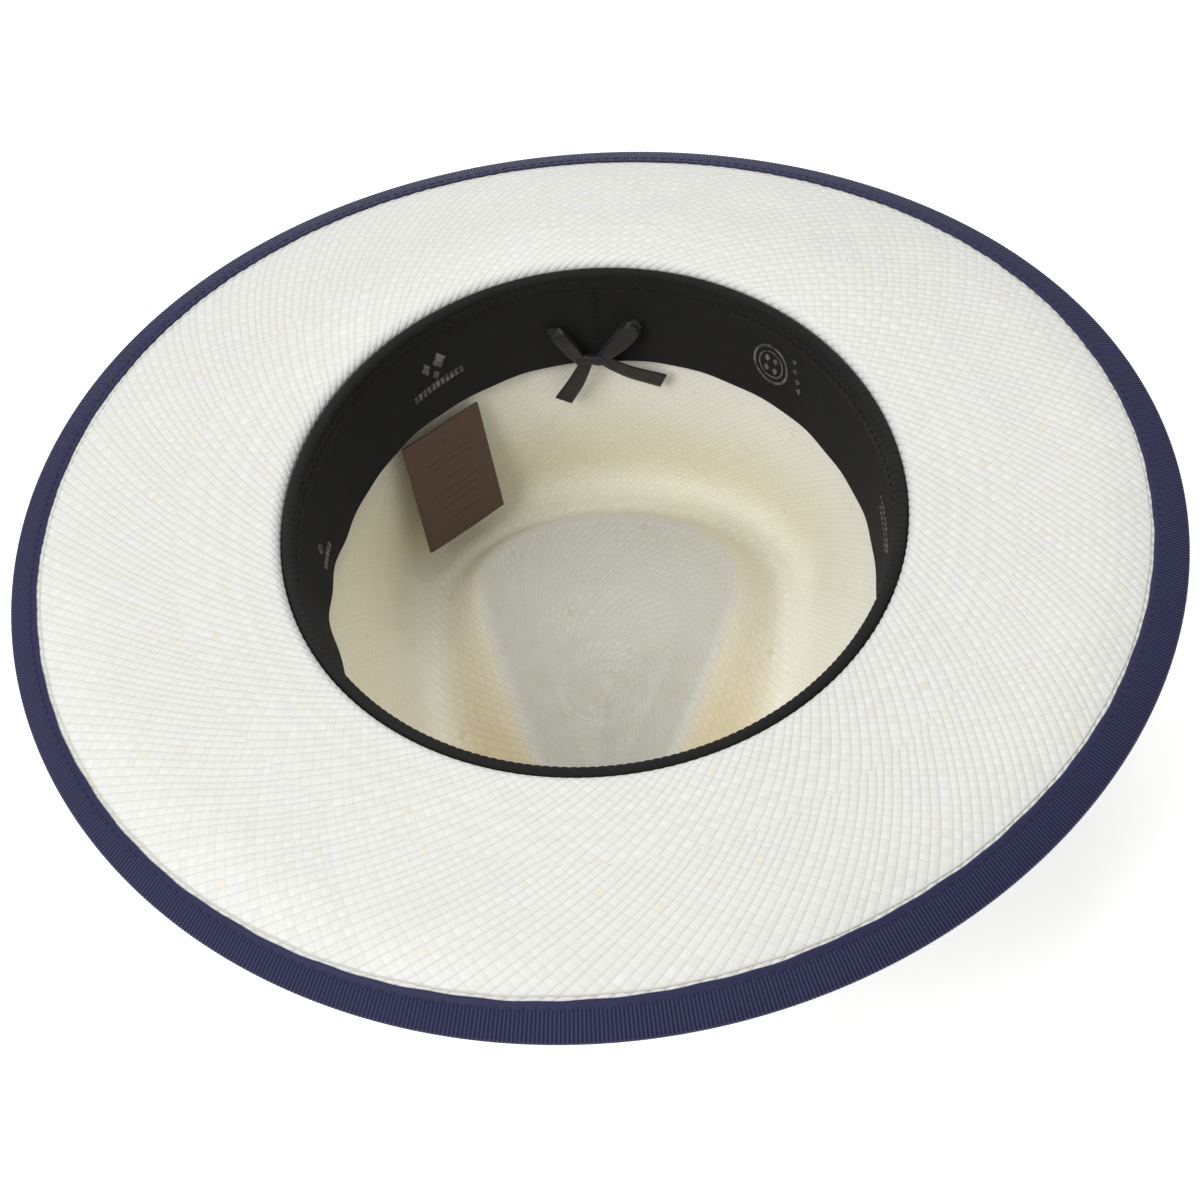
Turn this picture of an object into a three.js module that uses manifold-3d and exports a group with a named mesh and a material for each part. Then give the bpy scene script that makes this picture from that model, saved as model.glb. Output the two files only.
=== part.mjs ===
// A woven straw panama hat lying on its crown, so that the inside and the underside of the brim show.
// Millimetres, +Z up, floor at z = 0. +Y is the back of the hat, -X the wearer's left.
import * as THREE from "three";
import { mergeVertices } from "three/addons/utils/BufferGeometryUtils.js";
import Module from "manifold-3d";

const wasm = await Module();
wasm.setup();
const { Manifold, Mesh } = wasm;
const { sin, cos, sqrt, tan, abs, sign, min, max, hypot, PI } = Math;

// ---- driving dimensions ---------------------------------------------------------------------
const AROUND = 40; // facets around the hat
const STRAW = 1.2; // thickness of the woven straw
const GAP = 0.3; // clearance kept between neighbouring pieces
const HEAD = { halfWidth: 85.67, halfLength: 96.32, egg: 0.054, saddle: 3.67 }; // sewn edge of the band
const HEADLINE_Z = 83.2; // mean height of that edge over the floor
const BRIM = { width: 72.8, widthSin: -0.87, widthCos2: 2.47, breakRadius: 3, curlLength: 27 };
const RIM_Z = { mean: -8.8, cos1: 2.97, sin1: -0.27, cos2: 0.39, sin2: -0.81, sin3: 0.14, cos4: -0.1 };
const RIM_SLOPE = { mean: -0.541, sin1: 0.111, cos1: 0.052, cos2: 0.044, sin2: -0.017 }; // radians
const RIDGE = { back: 84.5, front: -76, widest: 42, halfWidth: 53.5, flat: 1.5 }; // lowest ring of the crown
const CROWN = { bulge: 1.8, roundAcross: 9, roundHeight: 10 };
const DENT = { back: 66, front: -60, widest: 41, halfWidth: 36.5, taper: 0.325, soft: 12, edge: 69, centre: 71.5 };
const BINDING = { cover: 9, thick: 0.8 };
const SWEAT = { height: 32.87, thick: 0.9, top: 2.7, reedRadius: 1 };
const HATBAND = { top: 8, bottom: 44, thick: 1 };
const LABEL = { from: 117, to: 135, length: 38, width: 29, thick: 1, pivotDrop: 1.2 };
const LABEL_TURN = { corner: 135.9, heading: 45, lean: 0.235, twist: 0.035 }; // degrees, then radians
const THREAD = 0.35; // radius of the sewing threads
const BOW = { x: -3.4, z: 56.4, ribbon: 4.2, leaf: 0.5, depth: 2.2 };
const SIDE_BOW = { half: 33, tail: 50, keeper: 6.5 };

// ---- small vector helpers -------------------------------------------------------------------
const V = (x, y, z) => new THREE.Vector3(x, y, z);
const mix = (a, b, t) => a + (b - a) * t;
const clamp01 = (t) => min(1, max(0, t));
const smooth = (t) => t * t * (3 - 2 * t);
const angles = (n = AROUND) => Array.from({ length: n }, (_, i) => (i * 2 * PI) / n);

// ---- the hat's surface ----------------------------------------------------------------------
const headline = (a) => {
  const p = V(HEAD.halfWidth * cos(a) * (1 + HEAD.egg * sin(a)), HEAD.halfLength * sin(a), 0);
  p.z = HEADLINE_Z - HEAD.saddle * cos(2 * a);
  return p;
};
const outward = (a) => {
  const d = headline(a + 1e-4).sub(headline(a - 1e-4));
  return V(d.y, -d.x, 0).normalize();
};
const brimWidth = (a) => BRIM.width + BRIM.widthSin * sin(a) + BRIM.widthCos2 * cos(2 * a);
const rimHeight = (a) =>
  HEADLINE_Z + RIM_Z.mean + RIM_Z.cos1 * cos(a) + RIM_Z.sin1 * sin(a) + RIM_Z.cos2 * cos(2 * a) +
  RIM_Z.sin2 * sin(2 * a) + RIM_Z.sin3 * sin(3 * a) + RIM_Z.cos4 * cos(4 * a);
const rimSlope = (a) =>
  RIM_SLOPE.mean + RIM_SLOPE.sin1 * sin(a) + RIM_SLOPE.cos1 * cos(a) + RIM_SLOPE.cos2 * cos(2 * a) +
  RIM_SLOPE.sin2 * sin(2 * a);

// Brim: s is the level distance out from the headline.
function brim(a, s) {
  const w = brimWidth(a);
  const p = headline(a);
  const rise = -tan(rimSlope(a));
  const flatEnd = rimHeight(a) + (BRIM.curlLength * rise) / 2;
  let z = mix(p.z + BRIM.breakRadius, flatEnd, smooth(clamp01(s / w)));
  const curl = s - (w - BRIM.curlLength);
  if (curl > 0) z -= (rise * curl * curl) / (2 * BRIM.curlLength);
  if (s < BRIM.breakRadius) z -= BRIM.breakRadius * (1 - sqrt(1 - (1 - s / BRIM.breakRadius) ** 2));
  return p.addScaledVector(outward(a), s).setZ(z);
}

// Plan curves of the crown's lowest ring and of the dent's edge.
function ridge(a, shift = 0) {
  const half = (RIDGE.back - RIDGE.front) / 2;
  const y = (RIDGE.back + RIDGE.front) / 2 + half * sin(a);
  const reach = y > RIDGE.widest ? RIDGE.back - RIDGE.widest : RIDGE.widest - RIDGE.front;
  const u = (y - RIDGE.widest) / reach;
  const p = V(RIDGE.halfWidth * sqrt(max(0, 1 - u * u)) * sign(cos(a)), y, STRAW);
  if (abs(cos(a)) < 1e-9) p.x = 0;
  return shift ? p.addScaledVector(outward(a), -shift) : p;
}
function dentEdge(a) {
  const half = (DENT.back - DENT.front) / 2;
  const y = (DENT.back + DENT.front) / 2 + half * sin(a);
  const u = DENT.widest - y;
  const back = sqrt(max(0, 1 - (u / (DENT.back - DENT.widest)) ** 2)) * DENT.halfWidth;
  const narrowed = DENT.taper * (hypot(u, DENT.soft) - DENT.soft);
  const front = (DENT.halfWidth - narrowed) * sqrt(max(0, 1 - (u / (DENT.widest - DENT.front)) ** 8));
  const x = abs(cos(a)) < 1e-9 ? 0 : (u < 0 ? back : front) * sign(cos(a));
  return V(x, y, HEADLINE_Z - DENT.edge);
}

// Crown wall: drop is the height below the headline, down to the lowest ring.
function wall(a, drop) {
  const top = headline(a);
  const low = ridge(a, -RIDGE.flat);
  const total = top.z - STRAW;
  const straight = total - CROWN.roundHeight;
  const across = hypot(top.x - low.x, top.y - low.y);
  const share = (across - CROWN.roundAcross) / across;
  let f = share * (min(drop, straight) / straight) ** CROWN.bulge;
  if (drop > straight) {
    const knee = share + ((share * CROWN.bulge) / straight) * CROWN.roundHeight;
    const t = 1 - sqrt(max(0, 1 - (drop - straight) / CROWN.roundHeight));
    f = share * (1 - t) ** 2 + 2 * knee * t * (1 - t) + t * t;
  }
  return V(mix(top.x, low.x, f), mix(top.y, low.y, f), top.z - drop);
}
const crownDrop = (a) => headline(a).z - STRAW;
// From the lowest ring up the groove's inner side (0 to 1) and over the dent's floor (1 to 2).
function dent(a, q) {
  const from = ridge(a, RIDGE.flat);
  const to = dentEdge(a);
  if (q <= 1) return V(mix(from.x, to.x, q), mix(from.y, to.y, q), mix(STRAW, to.z, smooth(q)));
  const t = 2 - q;
  return V(to.x * t, to.y * t, mix(HEADLINE_Z - DENT.centre, to.z, t * t));
}

// Unit normal of a surface patch, on the side that faces the head.
function normalOf(patch, a, v, step) {
  const along = patch(a, v + step).sub(patch(a, v - step));
  const round = patch(a + 1e-3, v).sub(patch(a - 1e-3, v));
  return round.cross(along).normalize();
}

// ---- closed solids --------------------------------------------------------------------------
function solid(points, faces) {
  const flat = points.flatMap((p) => [p.x, p.y, p.z]);
  let volume = 0;
  for (const [i, j, k] of faces) volume += points[i].dot(points[j].clone().cross(points[k]));
  const turned = volume < 0 ? faces.map(([i, j, k]) => [i, k, j]) : faces;
  const g = new THREE.BufferGeometry();
  g.setAttribute("position", new THREE.Float32BufferAttribute(flat, 3));
  g.setIndex(turned.flat());
  g.computeVertexNormals();
  return g;
}
function quads(faces, nRows, nCols, closeRows, base = 0) {
  for (let i = 0; i < (closeRows ? nRows : nRows - 1); i++) {
    for (let j = 0; j < nCols; j++) {
      const [a, b] = [base + i * nCols + j, base + i * nCols + ((j + 1) % nCols)];
      const r = base + ((i + 1) % nRows) * nCols;
      const [c, d] = [r + ((j + 1) % nCols), r + j];
      faces.push([a, b, c], [a, c, d]);
    }
  }
}
// Sections that follow each other in a closed ring.
function ringSolid(sections) {
  const faces = [];
  quads(faces, sections.length, sections[0].length, true);
  return solid(sections.flat(), faces);
}
// Sections that follow each other from one flat end to the other.
function stripSolid(sections) {
  const n = sections[0].length;
  const faces = [];
  quads(faces, sections.length, n, false);
  const last = (sections.length - 1) * n;
  for (let j = 0; j < n / 2 - 1; j++) {
    const [a, b, c, d] = [j, j + 1, n - 2 - j, n - 1 - j]; // a rung between the section's two sides
    faces.push([a, c, b], [a, d, c]);
    faces.push([last + a, last + b, last + c], [last + a, last + c, last + d]);
  }
  return solid(sections.flat(), faces);
}
// Rings that close over a pole at each end.
function domedSolid(first, rings, last) {
  const n = rings[0].length;
  const points = [first, ...rings.flat(), last];
  const faces = [];
  quads(faces, rings.length, n, false, 1);
  const end = 1 + (rings.length - 1) * n;
  for (let j = 0; j < n; j++) {
    faces.push([0, 1 + ((j + 1) % n), 1 + j], [points.length - 1, end + j, end + ((j + 1) % n)]);
  }
  return solid(points, faces);
}
const polygon = (centre, u, v, r, sides) =>
  Array.from({ length: sides }, (_, k) => {
    const t = (2 * PI * (k + 0.5)) / sides;
    return centre.clone().addScaledVector(u, r * cos(t)).addScaledVector(v, r * sin(t));
  });
const UP = V(0, 0, 1);
const threadRing = (centreAt, r, sides) =>
  ringSolid(angles().map((a) => polygon(centreAt(a), outward(a), UP, r, sides)));

// ---- straw body: crown and brim woven in one piece ------------------------------------------
const rimReach = (a) => brimWidth(a) - BINDING.thick - GAP;
function strawBody() {
  const rings = [];
  const add = (patch, at, step, level) => {
    const upper = angles().map((a) => patch(a, at(a)));
    const lower = angles().map((a, i) => {
      const n = level ? UP : normalOf(patch, a, at(a), step);
      return upper[i].clone().addScaledVector(n, n.z < -1e-6 ? STRAW : -STRAW);
    });
    rings.push({ upper, lower });
  };
  for (const back of [0, 10, 19, 28]) add(brim, (a) => rimReach(a) - back, 0.05);
  for (const s of [24, BRIM.breakRadius + 0.1]) add(brim, () => s, 0.05);
  add(brim, () => BRIM.breakRadius * (1 - sin(PI / 4)), 0.01);
  for (const d of [0.6, HATBAND.top, 26, HATBAND.bottom, 60]) add(wall, () => d, 0.05);
  for (const up of [CROWN.roundHeight, 2.5]) add(wall, (a) => crownDrop(a) - up, 0.05);
  add((a) => ridge(a, -RIDGE.flat), () => 0, 0, true);
  add((a) => ridge(a, RIDGE.flat), () => 0, 0, true);
  for (const q of [0.35, 0.68, 0.97, 1.5]) add(dent, () => q, 0.01);
  const middle = dent(0, 2);
  const floor = middle.clone().addScaledVector(UP, -STRAW);
  const path = [...rings.map((r) => r.upper).reverse(), ...rings.map((r) => r.lower)];
  return domedSolid(middle, path, floor);
}

// ---- brim binding: ribbon folded over the edge ----------------------------------------------
function rimFrame(a) {
  const edge = brim(a, rimReach(a));
  const inward = brim(a, rimReach(a) - 10).sub(edge).normalize();
  const tangent = V(-outward(a).y, outward(a).x, 0);
  const up = inward.clone().cross(tangent).normalize();
  if (up.z < 0) up.negate();
  return { edge, inward, up };
}
function brimBinding() {
  const t = BINDING.thick + GAP;
  const inside = [[BINDING.cover, GAP], [-GAP, GAP], [-GAP, -STRAW - GAP], [BINDING.cover, -STRAW - GAP]];
  const outside = [
    [BINDING.cover, -STRAW - t], [0, -STRAW - t], [-t, -STRAW - 0.2], [-t, 0.2], [0, t], [BINDING.cover, t],
  ];
  return ringSolid(
    angles().map((a) => {
      const { edge, inward, up } = rimFrame(a);
      return [...inside, ...outside].map(([i, u]) =>
        edge.clone().addScaledVector(inward, i).addScaledVector(up, u),
      );
    }),
  );
}
const bindingStitching = () =>
  threadRing((a) => {
    const { edge, inward, up } = rimFrame(a);
    const over = BINDING.thick + 2 * GAP + THREAD;
    return edge.addScaledVector(inward, BINDING.cover - 1.6).addScaledVector(up, over);
  }, THREAD, 4);

// ---- sweatband and what is sewn to it -------------------------------------------------------
const bandLean = (a) => 7.6 + 1.7 * cos(2 * a) - 0.9 * cos(a) - 2.2 * sin(a); // inset of its free edge
const bandInset = (a, drop) => {
  const t = (drop - SWEAT.top) / (SWEAT.height - SWEAT.top);
  return mix(1.4, bandLean(a), t ** 1.15);
};
const inside = (a, inset, drop) => {
  const p = headline(a);
  return p.addScaledVector(outward(a), -inset).setZ(p.z - drop);
};
function sweatband() {
  const drops = [SWEAT.top, 17, SWEAT.height];
  return ringSolid(
    angles().map((a) => [
      ...drops.map((d) => inside(a, bandInset(a, d), d)),
      ...drops.toReversed().map((d) => inside(a, bandInset(a, d) - SWEAT.thick, d)),
    ]),
  );
}
const sweatbandReed = () => threadRing((a) => inside(a, 1.65, 1.35), SWEAT.reedRadius, 6);
const sweatbandStitching = () =>
  threadRing((a) => inside(a, bandInset(a, 4.6) + GAP + THREAD, 4.6), THREAD, 4);
function sweatbandSeam() {
  const a = PI / 2 + 0.015;
  const side = V(outward(a).y, -outward(a).x, 0);
  const at = (d) => inside(a, bandInset(a, d) + GAP + THREAD + 0.1, d);
  return stripSolid([6.5, 12, 17.5, 22].map((d) => polygon(at(d), outward(a), side, THREAD, 6)));
}

// ---- label: a tab behind the band and the flap that hangs below it --------------------------
const facet = (2 * PI) / AROUND;
const labelAngles = () => {
  const [from, to] = [(LABEL.from * PI) / 180, (LABEL.to * PI) / 180];
  const steps = Math.round((to - from) / facet);
  return Array.from({ length: steps + 1 }, (_, i) => from + ((to - from) * i) / steps);
};
function labelTab() {
  const drops = [17, 25, SWEAT.height - 0.4];
  const back = SWEAT.thick + GAP;
  return stripSolid(
    labelAngles().map((a) => [
      ...drops.map((d) => inside(a, bandInset(a, d) - back, d)),
      ...drops.toReversed().map((d) => inside(a, bandInset(a, d) - back - LABEL.thick * 0.6, d)),
    ]),
  );
}
function labelFrame() {
  const a = (LABEL_TURN.corner * PI) / 180;
  const heading = (LABEL_TURN.heading * PI) / 180;
  const left = inside(a, bandInset(a, SWEAT.height) - SWEAT.thick / 2, SWEAT.height + LABEL.pivotDrop);
  const level = V(cos(heading), sin(heading), 0);
  const inward = V(level.y, -level.x, 0);
  const fall = inward.multiplyScalar(sin(LABEL_TURN.lean)).addScaledVector(UP, -cos(LABEL_TURN.lean));
  const [c, d] = [cos(LABEL_TURN.twist), sin(LABEL_TURN.twist)];
  const along = level.clone().multiplyScalar(c).addScaledVector(fall, d);
  const down = fall.clone().multiplyScalar(c).addScaledVector(level, -d);
  const right = left.clone().addScaledVector(along, LABEL.width);
  return { left, right, along, down, face: along.clone().cross(down).normalize() };
}
function labelFlap() {
  const { left, right, down, face } = labelFrame();
  const half = LABEL.thick / 2;
  return stripSolid(
    [0.6, LABEL.length].map((d) =>
      [[left, half], [right, half], [right, -half], [left, -half]].map(([p, t]) =>
        p.clone().addScaledVector(down, d).addScaledVector(face, t),
      ),
    ),
  );
}

// ---- little ribbon bow tied on the sweatband's back -----------------------------------------
function toManifold(geometry) {
  for (const name of ["normal", "uv"]) geometry.deleteAttribute(name);
  const g = mergeVertices(geometry, 1e-3);
  const vertProperties = new Float32Array(g.attributes.position.array);
  return new Manifold(new Mesh({ numProp: 3, vertProperties, triVerts: new Uint32Array(g.index.array) }));
}
function fromManifold(m) {
  const mesh = m.getMesh();
  const g = new THREE.BufferGeometry();
  g.setAttribute("position", new THREE.Float32BufferAttribute(mesh.vertProperties, 3));
  g.setIndex(Array.from(mesh.triVerts));
  g.computeVertexNormals();
  return g;
}
function sweatbandBow() {
  const { ribbon, leaf, depth } = BOW;
  // A ribbon piece is drawn lengthways on X with its thickness on Y, and its width is extruded.
  const ribbonPiece = (shape, width, dx, dz) => {
    const g = new THREE.ExtrudeGeometry(shape, { depth: width, bevelEnabled: false, curveSegments: 4 });
    return toManifold(g.translate(0, 0, -width / 2).rotateY(-Math.atan2(dz, dx)));
  };
  const loop = (dx, dz) => {
    const long = hypot(dx, dz);
    const shape = new THREE.Shape();
    shape.moveTo(0, -depth / 2).lineTo(long - depth / 2, -depth / 2);
    shape.absarc(long - depth / 2, 0, depth / 2, -PI / 2, PI / 2).lineTo(0, depth / 2);
    const hole = new THREE.Path();
    const r = depth / 2 - leaf;
    hole.moveTo(2, -r).lineTo(long - depth / 2, -r);
    hole.absarc(long - depth / 2, 0, r, -PI / 2, PI / 2).lineTo(2, r);
    shape.holes.push(hole);
    return ribbonPiece(shape, ribbon, dx, dz);
  };
  const tail = (dx, dz) => {
    const shape = new THREE.Shape();
    const [long, w] = [hypot(dx, dz), ribbon / 2];
    shape.moveTo(0, -w).lineTo(long, -w).lineTo(long - 1.6, 0).lineTo(long, w).lineTo(0, w);
    const g = new THREE.ExtrudeGeometry(shape, { depth: leaf * 1.4, bevelEnabled: false });
    return toManifold(g.translate(0, 0, -leaf * 0.7).rotateX(PI / 2).rotateY(-Math.atan2(dz, dx)));
  };
  const knot = toManifold(new THREE.SphereGeometry(1, 12, 8).scale(2.9, 1.6, 2.6));
  const bow = knot.add(loop(-10.2, 12.5)).add(loop(13.6, 13.9)).add(tail(-9.7, -15.6)).add(tail(21, -9.9));
  const back = HEAD.halfLength - bandLean(PI / 2) - GAP;
  return fromManifold(bow).translate(BOW.x, back - 1.9, BOW.z);
}

// ---- ribbon round the outside of the crown, with a flat bow on the wearer's left -------------
function onBand(a, drop, lift) {
  const n = normalOf(wall, a, drop, 0.05);
  const out = n.dot(outward(a)) > 0 ? n : n.negate();
  return wall(a, drop).addScaledVector(out, STRAW + GAP + lift);
}
function hatband() {
  const drops = [HATBAND.top, 26, HATBAND.bottom];
  return ringSolid(
    angles().map((a) => [
      ...drops.map((d) => onBand(a, d, 0)),
      ...drops.toReversed().map((d) => onBand(a, d, HATBAND.thick)),
    ]),
  );
}
const sideAngle = (along) => PI - along / (HEAD.halfLength * 1.05); // along is towards the back
const sideDrops = [HATBAND.top + 1, 17.5, 26, 35, HATBAND.bottom - 1];
const sideLift = HATBAND.thick + 2 * GAP;
function sideLoops() {
  const { half } = SIDE_BOW;
  const path = [];
  const rise = (u) => 1.3 * smooth(clamp01((u - 8) / 12)) * (1 - 0.25 * clamp01((u - 20) / 13));
  const outer = (u) => 2.4 + rise(abs(u));
  const steps = [-1, -0.8, -0.5, -0.25, 0, 0.25, 0.5, 0.8, 1];
  for (const s of steps) path.push([s * half * 0.97, 1.1, 1.6]);
  path.push([half + 1.2, 1.5, 2.0]);
  for (const s of steps.toReversed()) path.push([s * half * 0.97, outer(s * half), outer(s * half) - 0.5]);
  path.push([-half - 1.2, 2.0, 1.5]);
  // The two leaves meet in a fold at each end: the wall there stands across the ribbon.
  return ringSolid(
    path.map(([u, near, far]) => {
      if (abs(u) > half) return foldSection(u, outer(half));
      return [
        ...sideDrops.map((d) => onBand(sideAngle(u), d, sideLift + near)),
        ...sideDrops.toReversed().map((d) => onBand(sideAngle(u), d, sideLift + far)),
      ];
    }),
  );
}
function foldSection(u, farthest) {
  const middle = (1.1 + farthest) / 2;
  const shift = sign(u) * 0.5;
  const at = (x, d) => onBand(sideAngle(x), d, sideLift + middle);
  return [
    ...sideDrops.map((d) => at(u + shift, d)),
    ...sideDrops.toReversed().map((d) => at(u - shift * 0.6, d)),
  ];
}
function sideTail() {
  const notch = (k) => (abs(k - (sideDrops.length - 1) / 2) / ((sideDrops.length - 1) / 2)) * 7 - 7;
  const stations = [0, 0.25, 0.5, 0.75, 1];
  return stripSolid(
    stations.map((s) => {
      const u = (k) => mix(-4, SIDE_BOW.tail + notch(k), s);
      return [
        ...sideDrops.map((d, k) => onBand(sideAngle(u(k)), d, sideLift)),
        ...sideDrops.toReversed().map((d, k) =>
          onBand(sideAngle(u(sideDrops.length - 1 - k)), d, sideLift + 0.6),
        ),
      ];
    }),
  );
}
function sideKeeper() {
  const [top, low] = [HATBAND.top - 1.4, HATBAND.bottom + 1.4];
  const face = [
    [top, 0.35], [top, 3.3], [17.5, 3.4], [26, 3.4], [35, 3.4], [low, 3.3], [low, 0.35],
  ];
  const back = [
    [low - 0.7, 0.35], [low - 0.7, 2.7], [35, 2.8], [26, 2.8], [17.5, 2.8], [top + 0.7, 2.7], [top + 0.7, 0.35],
  ];
  return stripSolid(
    [-1, 0, 1].map((s) =>
      [...face, ...back].map(([d, lift]) => onBand(sideAngle(s * SIDE_BOW.keeper), d, sideLift + lift)),
    ),
  );
}

// ---- assembly -------------------------------------------------------------------------------
const hat = new THREE.Group();
hat.name = "panama_hat";
function piece(name, geometry, color, roughness, metalness = 0) {
  const mesh = new THREE.Mesh(geometry, new THREE.MeshStandardMaterial({ color, roughness, metalness }));
  mesh.name = name;
  hat.add(mesh);
}
const STRAW_COLOUR = 0xe8e9e2;
const NAVY = 0x30305a;
const BLACK = 0x232323;
piece("straw_body", strawBody(), STRAW_COLOUR, 0.55);
piece("brim_binding", brimBinding(), NAVY, 0.75);
piece("binding_stitching", bindingStitching(), 0x26264c, 0.8);
piece("sweatband", sweatband(), BLACK, 0.9);
piece("sweatband_reed", sweatbandReed(), BLACK, 0.85);
piece("sweatband_stitching", sweatbandStitching(), 0x181818, 0.8);
piece("sweatband_seam_thread", sweatbandSeam(), 0x181818, 0.8);
piece("sweatband_bow", sweatbandBow(), 0x1c1c1e, 0.5);
piece("label_tab", labelTab(), 0x5a4537, 0.8);
piece("label_flap", labelFlap(), 0x5a4537, 0.8);
piece("hatband", hatband(), NAVY, 0.75);
piece("hatband_bow_tail", sideTail(), NAVY, 0.75);
piece("hatband_bow_loops", sideLoops(), NAVY, 0.75);
piece("hatband_bow_keeper", sideKeeper(), NAVY, 0.75);

// The origin is the middle of the bounding box's base.
const box = new THREE.Box3().setFromObject(hat);
const centre = box.getCenter(V(0, 0, 0));
for (const mesh of hat.children) mesh.position.set(-centre.x, -centre.y, -box.min.z);
hat.updateMatrixWorld(true);

export default hat;
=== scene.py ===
"""Looks for a woven straw panama hat that lies on its crown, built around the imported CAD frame.

Every piece is made in the hat's own millimetres: floor at z = 0, +Y the back of the hat, -X the
wearer's left. Angle a runs from +X towards +Y. build() moves the points into the row frame, in metres.
"""

import bpy
import numpy as np
from mathutils import Matrix, Vector


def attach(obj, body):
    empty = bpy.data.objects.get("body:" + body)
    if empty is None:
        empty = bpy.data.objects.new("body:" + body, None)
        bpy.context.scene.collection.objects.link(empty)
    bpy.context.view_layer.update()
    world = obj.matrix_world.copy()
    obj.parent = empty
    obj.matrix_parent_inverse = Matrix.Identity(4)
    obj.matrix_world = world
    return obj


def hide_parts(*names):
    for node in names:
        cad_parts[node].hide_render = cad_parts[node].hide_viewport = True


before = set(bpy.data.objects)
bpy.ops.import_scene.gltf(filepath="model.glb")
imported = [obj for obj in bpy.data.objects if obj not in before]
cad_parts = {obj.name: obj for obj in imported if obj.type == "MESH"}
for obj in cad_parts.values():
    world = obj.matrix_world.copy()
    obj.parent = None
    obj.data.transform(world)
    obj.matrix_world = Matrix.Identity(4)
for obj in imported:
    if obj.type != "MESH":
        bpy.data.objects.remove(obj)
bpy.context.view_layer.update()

PI = np.pi
MM = 0.001
ORIGIN = np.array([-0.013, 0.841, 0.0])  # from the hat's own centre to the row frame's

# ---- driving dimensions, in millimetres, as in the CAD ---------------------------------------
STRAW = 1.2
GAP = 0.3
HEADLINE_Z = 83.2
HEAD = dict(half_width=85.67, half_length=96.32, egg=0.054, saddle=3.67)
BRIM = dict(width=72.8, sin1=-0.87, cos2=2.47, break_radius=3.0, curl=27.0)
RIM_Z = dict(mean=-8.8, cos1=2.97, sin1=-0.27, cos2=0.39, sin2=-0.81, sin3=0.14, cos4=-0.1)
RIM_SLOPE = dict(mean=-0.541, sin1=0.111, cos1=0.052, cos2=0.044, sin2=-0.017)
RIDGE = dict(back=84.5, front=-76.0, widest=42.0, half_width=53.5, flat=1.5)
CROWN = dict(bulge=1.8, round_across=9.0, round_height=10.0)
DENT = dict(
    back=66.0, front=-60.0, widest=41.0, half_width=36.5, taper=0.325, soft=12.0, edge=69.0, centre=71.5
)
BINDING = dict(cover=9.0, narrower=2.8, narrowest=218.0, thick=0.8, rim=1035.0, rib=0.11)
HEM_CORD = dict(beyond=0.95, half_width=0.24, half_height=0.18, stations=2400, sides=8)
SWEAT = dict(height=32.87, thick=0.9, top=2.7, start=0.6, roll=2.0, roll_end=0.3)
REED = dict(inset=1.95, half_width=1.65, puff=0.25, drop=-0.25, half_height=1.35, rise=0.12, lobes=236)
STITCH_DROP = 4.6  # where the sweatband is sewn to the straw
HATBAND = dict(top=8.0, bottom=44.0, thick=1.0)
LABEL = dict(start=117.0, end=135.0, length=38.0, width=29.0, pivot_drop=1.2)
LABEL_TURN = dict(corner=135.9, heading=45.0, lean=0.235, twist=0.035)
BOW = dict(x=-3.4, z=56.4, ribbon=5.0)
SIDE_BOW = dict(half=33.0, tail=50.0, keeper=6.5, near_leaf=1.35, fold=1.4, leaf=0.25, edge=1.0)
RIB = 1.05  # pitch of the ribbon's ribs
UP = np.array([0.0, 0.0, 1.0])
BACK = PI / 2


# ---- the hat's surface -----------------------------------------------------------------------
def vec(x, y, z):
    return np.stack(np.broadcast_arrays(x, y, z), -1).astype(float)


def unit(v):
    return v / np.linalg.norm(v, axis=-1, keepdims=True)


def mix(a, b, t):
    return a + (b - a) * t


def smooth(t):
    t = np.clip(t, 0, 1)
    return t * t * (3 - 2 * t)


def near(x, centre, half):
    """1 at the centre, falling smoothly to 0 at half away from it."""
    return smooth(1 - np.abs(x - centre) / half)


def headline(a):
    x = HEAD["half_width"] * np.cos(a) * (1 + HEAD["egg"] * np.sin(a))
    return vec(x, HEAD["half_length"] * np.sin(a), HEADLINE_Z - HEAD["saddle"] * np.cos(2 * a))


def outward(a):
    """Level unit vector that points away from the opening."""
    dx = HEAD["half_width"] * (HEAD["egg"] * np.cos(2 * a) - np.sin(a))
    return unit(vec(HEAD["half_length"] * np.cos(a), -dx, 0))


def waves(a, mean=0, cos1=0, sin1=0, cos2=0, sin2=0, sin3=0, cos4=0):
    low = mean + cos1 * np.cos(a) + sin1 * np.sin(a) + cos2 * np.cos(2 * a) + sin2 * np.sin(2 * a)
    return low + sin3 * np.sin(3 * a) + cos4 * np.cos(4 * a)


def brim_width(a):
    return BRIM["width"] + BRIM["sin1"] * np.sin(a) + BRIM["cos2"] * np.cos(2 * a)


def rim_reach(a):
    return brim_width(a) - BINDING["thick"] - GAP


def brim(a, s):
    """The brim's upper side: s is the level distance out from the headline."""
    w = brim_width(a)
    p = headline(a)
    rise = -np.tan(waves(a, **RIM_SLOPE))
    flat_end = HEADLINE_Z + waves(a, **RIM_Z) + BRIM["curl"] * rise / 2
    z = mix(p[..., 2] + BRIM["break_radius"], flat_end, smooth(s / w))
    curl = np.maximum(0, s - (w - BRIM["curl"]))
    z = z - rise * curl**2 / (2 * BRIM["curl"])
    inner = np.clip(1 - s / BRIM["break_radius"], 0, 1)
    z = z - BRIM["break_radius"] * (1 - np.sqrt(1 - inner**2))
    p = p + outward(a) * np.asarray(s)[..., None]
    p[..., 2] = z
    return p


def egg_plan(a, shape):
    """Height y along the plan and how far it is past the widest place."""
    half = (shape["back"] - shape["front"]) / 2
    y = (shape["back"] + shape["front"]) / 2 + half * np.sin(a)
    return y, y - shape["widest"]


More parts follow.
